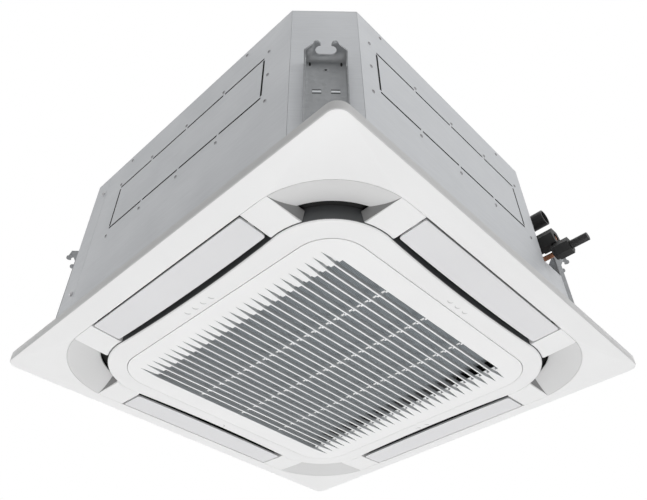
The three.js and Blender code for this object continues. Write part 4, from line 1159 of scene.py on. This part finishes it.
def louvre_vanes():
    """The four vanes, a little narrower so that a dark line shows round each."""
    for side in SIDES:
        piece = from_node(f"vane_{side}", f"vane_{side}_blade", ease=0.35, flat=0.5)
        turn = about_z(-90 - SIDE_TURN[side], 4)
        middle = Vector((TRIM_X, TRIM_Y, 0)) * MM
        for vertex in piece.data.vertices:
            spot = turn @ (vertex.co - middle)
            if spot.x < -VANE_EDGE * MM:
                spot.x += VANE_GAP * MM
            if abs(spot.y) > VANE_END * MM and spot.z < -10 * MM:
                spot.y -= math.copysign(VANE_END_GAP * MM, spot.y)
            vertex.co = turn.inverted() @ spot + middle


def carried_over():
    """Pieces that keep their node's own shape."""
    for node, width in EASED.items():
        from_node(node, node + "_piece", ease=width, flat=0.5)
    for node in PLAIN:
        from_node(node, node + "_piece")
    for corner in CORNERS:
        from_node(f"hanger_{corner}", f"hanger_{corner}_bracket", BRACKET)


def hanger_details():
    """Raised lances on each hanger's web, drawn bright as a painted highlight, its rivet nut,
    and painted shade in the lance slots, the nut's hole and the dents.
    """
    edge = (-1.6, -1.2, -0.6, 0, 0.6, 1.2, 1.6)
    lance = slab("lance", [[(x, y, -0.5) for y in edge] for x in (-5, 5)],
                 [[(x, y, 0.1 + 0.8 * (1 - (y / 1.6) ** 2)) for y in edge] for x in (-5, 5)])
    slot = box_mesh("slot", -5.19, 5.19, -3.9, 3.9, -1.5, -0.25)
    dent = turned("dent", [(1.3, -0.3), (1.3, 0.03)], 16)
    dent.transform(Matrix.Diagonal((1.0, 3.2, 1.0, 1.0)))
    nut = turned("nut", [(3.5, -0.6), (3.5, 0.15), (3.2, 0.4), (1.9, 0.4), (1.7, 0.1)], 24)
    hole = turned("hole", [(1.66, -0.2), (1.66, 0.2)], 20)
    # the lances carry a painted highlight; the slots, nut holes and dents carry painted shade
    shapes = (("lances", lance, LANCE_PAINTED_HIGHLIGHT, ((-10.6, 113), (10.6, 113))),
              ("slots", slot, HOLE_PAINTED_SHADE, ((-10.6, 113), (10.6, 113))),
              ("nuts", nut, BRACKET, ((0, 156),)), ("nut_holes", hole, HOLE_PAINTED_SHADE, ((0, 156),)),
              ("dents", dent, HOLE_PAINTED_SHADE, ((-18.5, 168), (18.5, 168))))
    for name, shape, finish, spots in shapes:
        places = [on_face(turn, x, z, WEB_OUT) for turn in (-45, 45, 135, 225)
                  for x, z in spots]
        piece = scattered(f"hanger_{name}", shape, places, finish)
        finished(piece, "casing")


# ------------------------------------------------------------------ camera, light and floor
PHOTO_WIDTH, PHOTO_HEIGHT = 647.0, 500.0
FOCAL, CENTRE_X, CENTRE_Y = 656.47, 322.17, 225.0    # in the photograph's pixels
CAMERA_PLACE = (-0.5713, -0.5456, -0.5020)           # in metres, as are the lamps' places
CAMERA_TURN = (0.8143, 0.7677, -0.0101)              # azimuth, elevation and roll, radians
SENSOR = 36.0
FLOOR_HALF, FLOOR_LEVEL = 6.0, -1.3
EVEN_LIGHT = 0.43               # the world's strength on the object
FLOOR_PALENESS = 0.38           # what the camera sees of the floor beyond its lit shade
LAMPS = (                       # name, place, target, size, watts, spread in degrees
    ("below", (-0.1, -0.1, -1.25), (-0.1, -0.1, 0), (3.4, 3.4), 17.5, 60),
    ("front", (0.4, -2.6, 1.0), (0, 0, 0.15), (1.6, 1.0), 3.3, 80),
    ("back", (-0.4, 2.6, 1.0), (0, 0, 0.15), (1.6, 1.0), 2.0, 80),
    ("right", (2.6, -0.3, 1.0), (0, 0, 0.15), (1.6, 1.0), 2.0, 80),
    ("above", (0, 0, 2.4), (0, 0, 0), (1.6, 1.6), 3.5, 80),
)


def turn_of(azimuth, elevation, roll):
    """Camera axes for a look along +Y turned by azimuth to +X, raised, and rolled."""
    ahead = Vector((math.sin(azimuth) * math.cos(elevation),
                    math.cos(azimuth) * math.cos(elevation), math.sin(elevation)))
    right = Vector((math.cos(azimuth), -math.sin(azimuth), 0.0))
    up = right.cross(ahead)
    rolled_right = right * math.cos(roll) + up * math.sin(roll)
    rolled_up = up * math.cos(roll) - right * math.sin(roll)
    return Matrix((rolled_right, rolled_up, -ahead)).transposed()


def make_camera():
    data = bpy.data.cameras.new("camera")
    data.sensor_fit = "HORIZONTAL"
    data.sensor_width = SENSOR
    data.lens = FOCAL / PHOTO_WIDTH * SENSOR
    data.shift_x = (PHOTO_WIDTH / 2 - CENTRE_X) / PHOTO_WIDTH
    data.shift_y = (CENTRE_Y - PHOTO_HEIGHT / 2) / PHOTO_WIDTH
    data.clip_start, data.clip_end = 0.01, 50.0
    camera = shown(bpy.data.objects.new("camera", data))
    camera.matrix_world = turn_of(*CAMERA_TURN).to_4x4()
    camera.location = CAMERA_PLACE
    bpy.context.scene.camera = camera


def area_light(name, place, target, size, power, spread):
    """A soft lamp that isn't seen itself, only by the light it gives."""
    data = bpy.data.lights.new(name, "AREA")
    data.shape = "RECTANGLE"
    data.size, data.size_y = size
    data.energy = power
    data.spread = math.radians(spread)
    lamp = shown(bpy.data.objects.new(name, data))
    lamp.location = place
    aim = Vector(target) - Vector(place)
    lamp.rotation_euler = aim.to_track_quat("-Z", "Y").to_euler()
    lamp.visible_camera = False


def seen_directly(tree):
    """1 where the camera, gloss or glass looks, and 0 for the light that falls on things."""
    path = tree.nodes.new("ShaderNodeLightPath")
    seen = path.outputs["Is Camera Ray"]
    for ray in ("Is Glossy Ray", "Is Transmission Ray"):
        either = tree.nodes.new("ShaderNodeMath")
        either.operation = "MAXIMUM"
        wire(tree, (seen, either.inputs[0]), (path.outputs[ray], either.inputs[1]))
        seen = either.outputs["Value"]
    return seen


def make_world():
    """A soft even light, and white where the camera, gloss or glass sees nothing."""
    world = bpy.data.worlds.new("studio")
    bpy.context.scene.world = world
    world.use_nodes = True
    tree = world.node_tree
    background = tree.nodes["Background"]
    strength = fill(tree.nodes.new("ShaderNodeMapRange"), {"To Min": EVEN_LIGHT})
    wire(tree, (seen_directly(tree), strength.inputs["Value"]),
         (strength.outputs["Result"], background.inputs["Strength"]))
    background.inputs["Color"].default_value = (1.0, 1.0, 1.0, 1.0)


def make_floor():
    """A pale floor that keeps the object's shadow."""
    mesh = bpy.data.meshes.new("floor")
    mesh.from_pydata([(x, y, FLOOR_LEVEL) for x, y in rectangle(FLOOR_HALF, FLOOR_HALF)], [],
                     [(0, 1, 2, 3)])
    material = new_material("floor", (0.86, 0.86, 0.86), 0.9, specular=0.2)
    tree = material.node_tree
    shader = fill(tree.nodes["Principled BSDF"], {"Emission Color": (1.0, 1.0, 1.0, 1.0)})
    pale = tree.nodes.new("ShaderNodeMath")
    pale.operation = "MULTIPLY"
    pale.inputs[1].default_value = FLOOR_PALENESS
    wire(tree, (seen_directly(tree), pale.inputs[0]),
         (pale.outputs["Value"], shader.inputs["Emission Strength"]))
    piece_from("floor", mesh, [material])


def make_studio():
    make_camera()
    make_world()
    make_floor()
    for lamp in LAMPS:
        area_light(*lamp)
    bpy.context.scene.view_settings.view_transform = "Standard"


# ------------------------------------------------------------------ the whole object
make_studio()
panel_rim()
corner_covers()
surround_ring()
ring_marks()
intake_grille()
grille_lip()
air_filter()
filter_bars()
knockout_shade_sheets()
casing_sides()
casing_rivets()
casing_screws()
louvre_vanes()
top_beads()
drain_pan()
carried_over()
hanger_details()
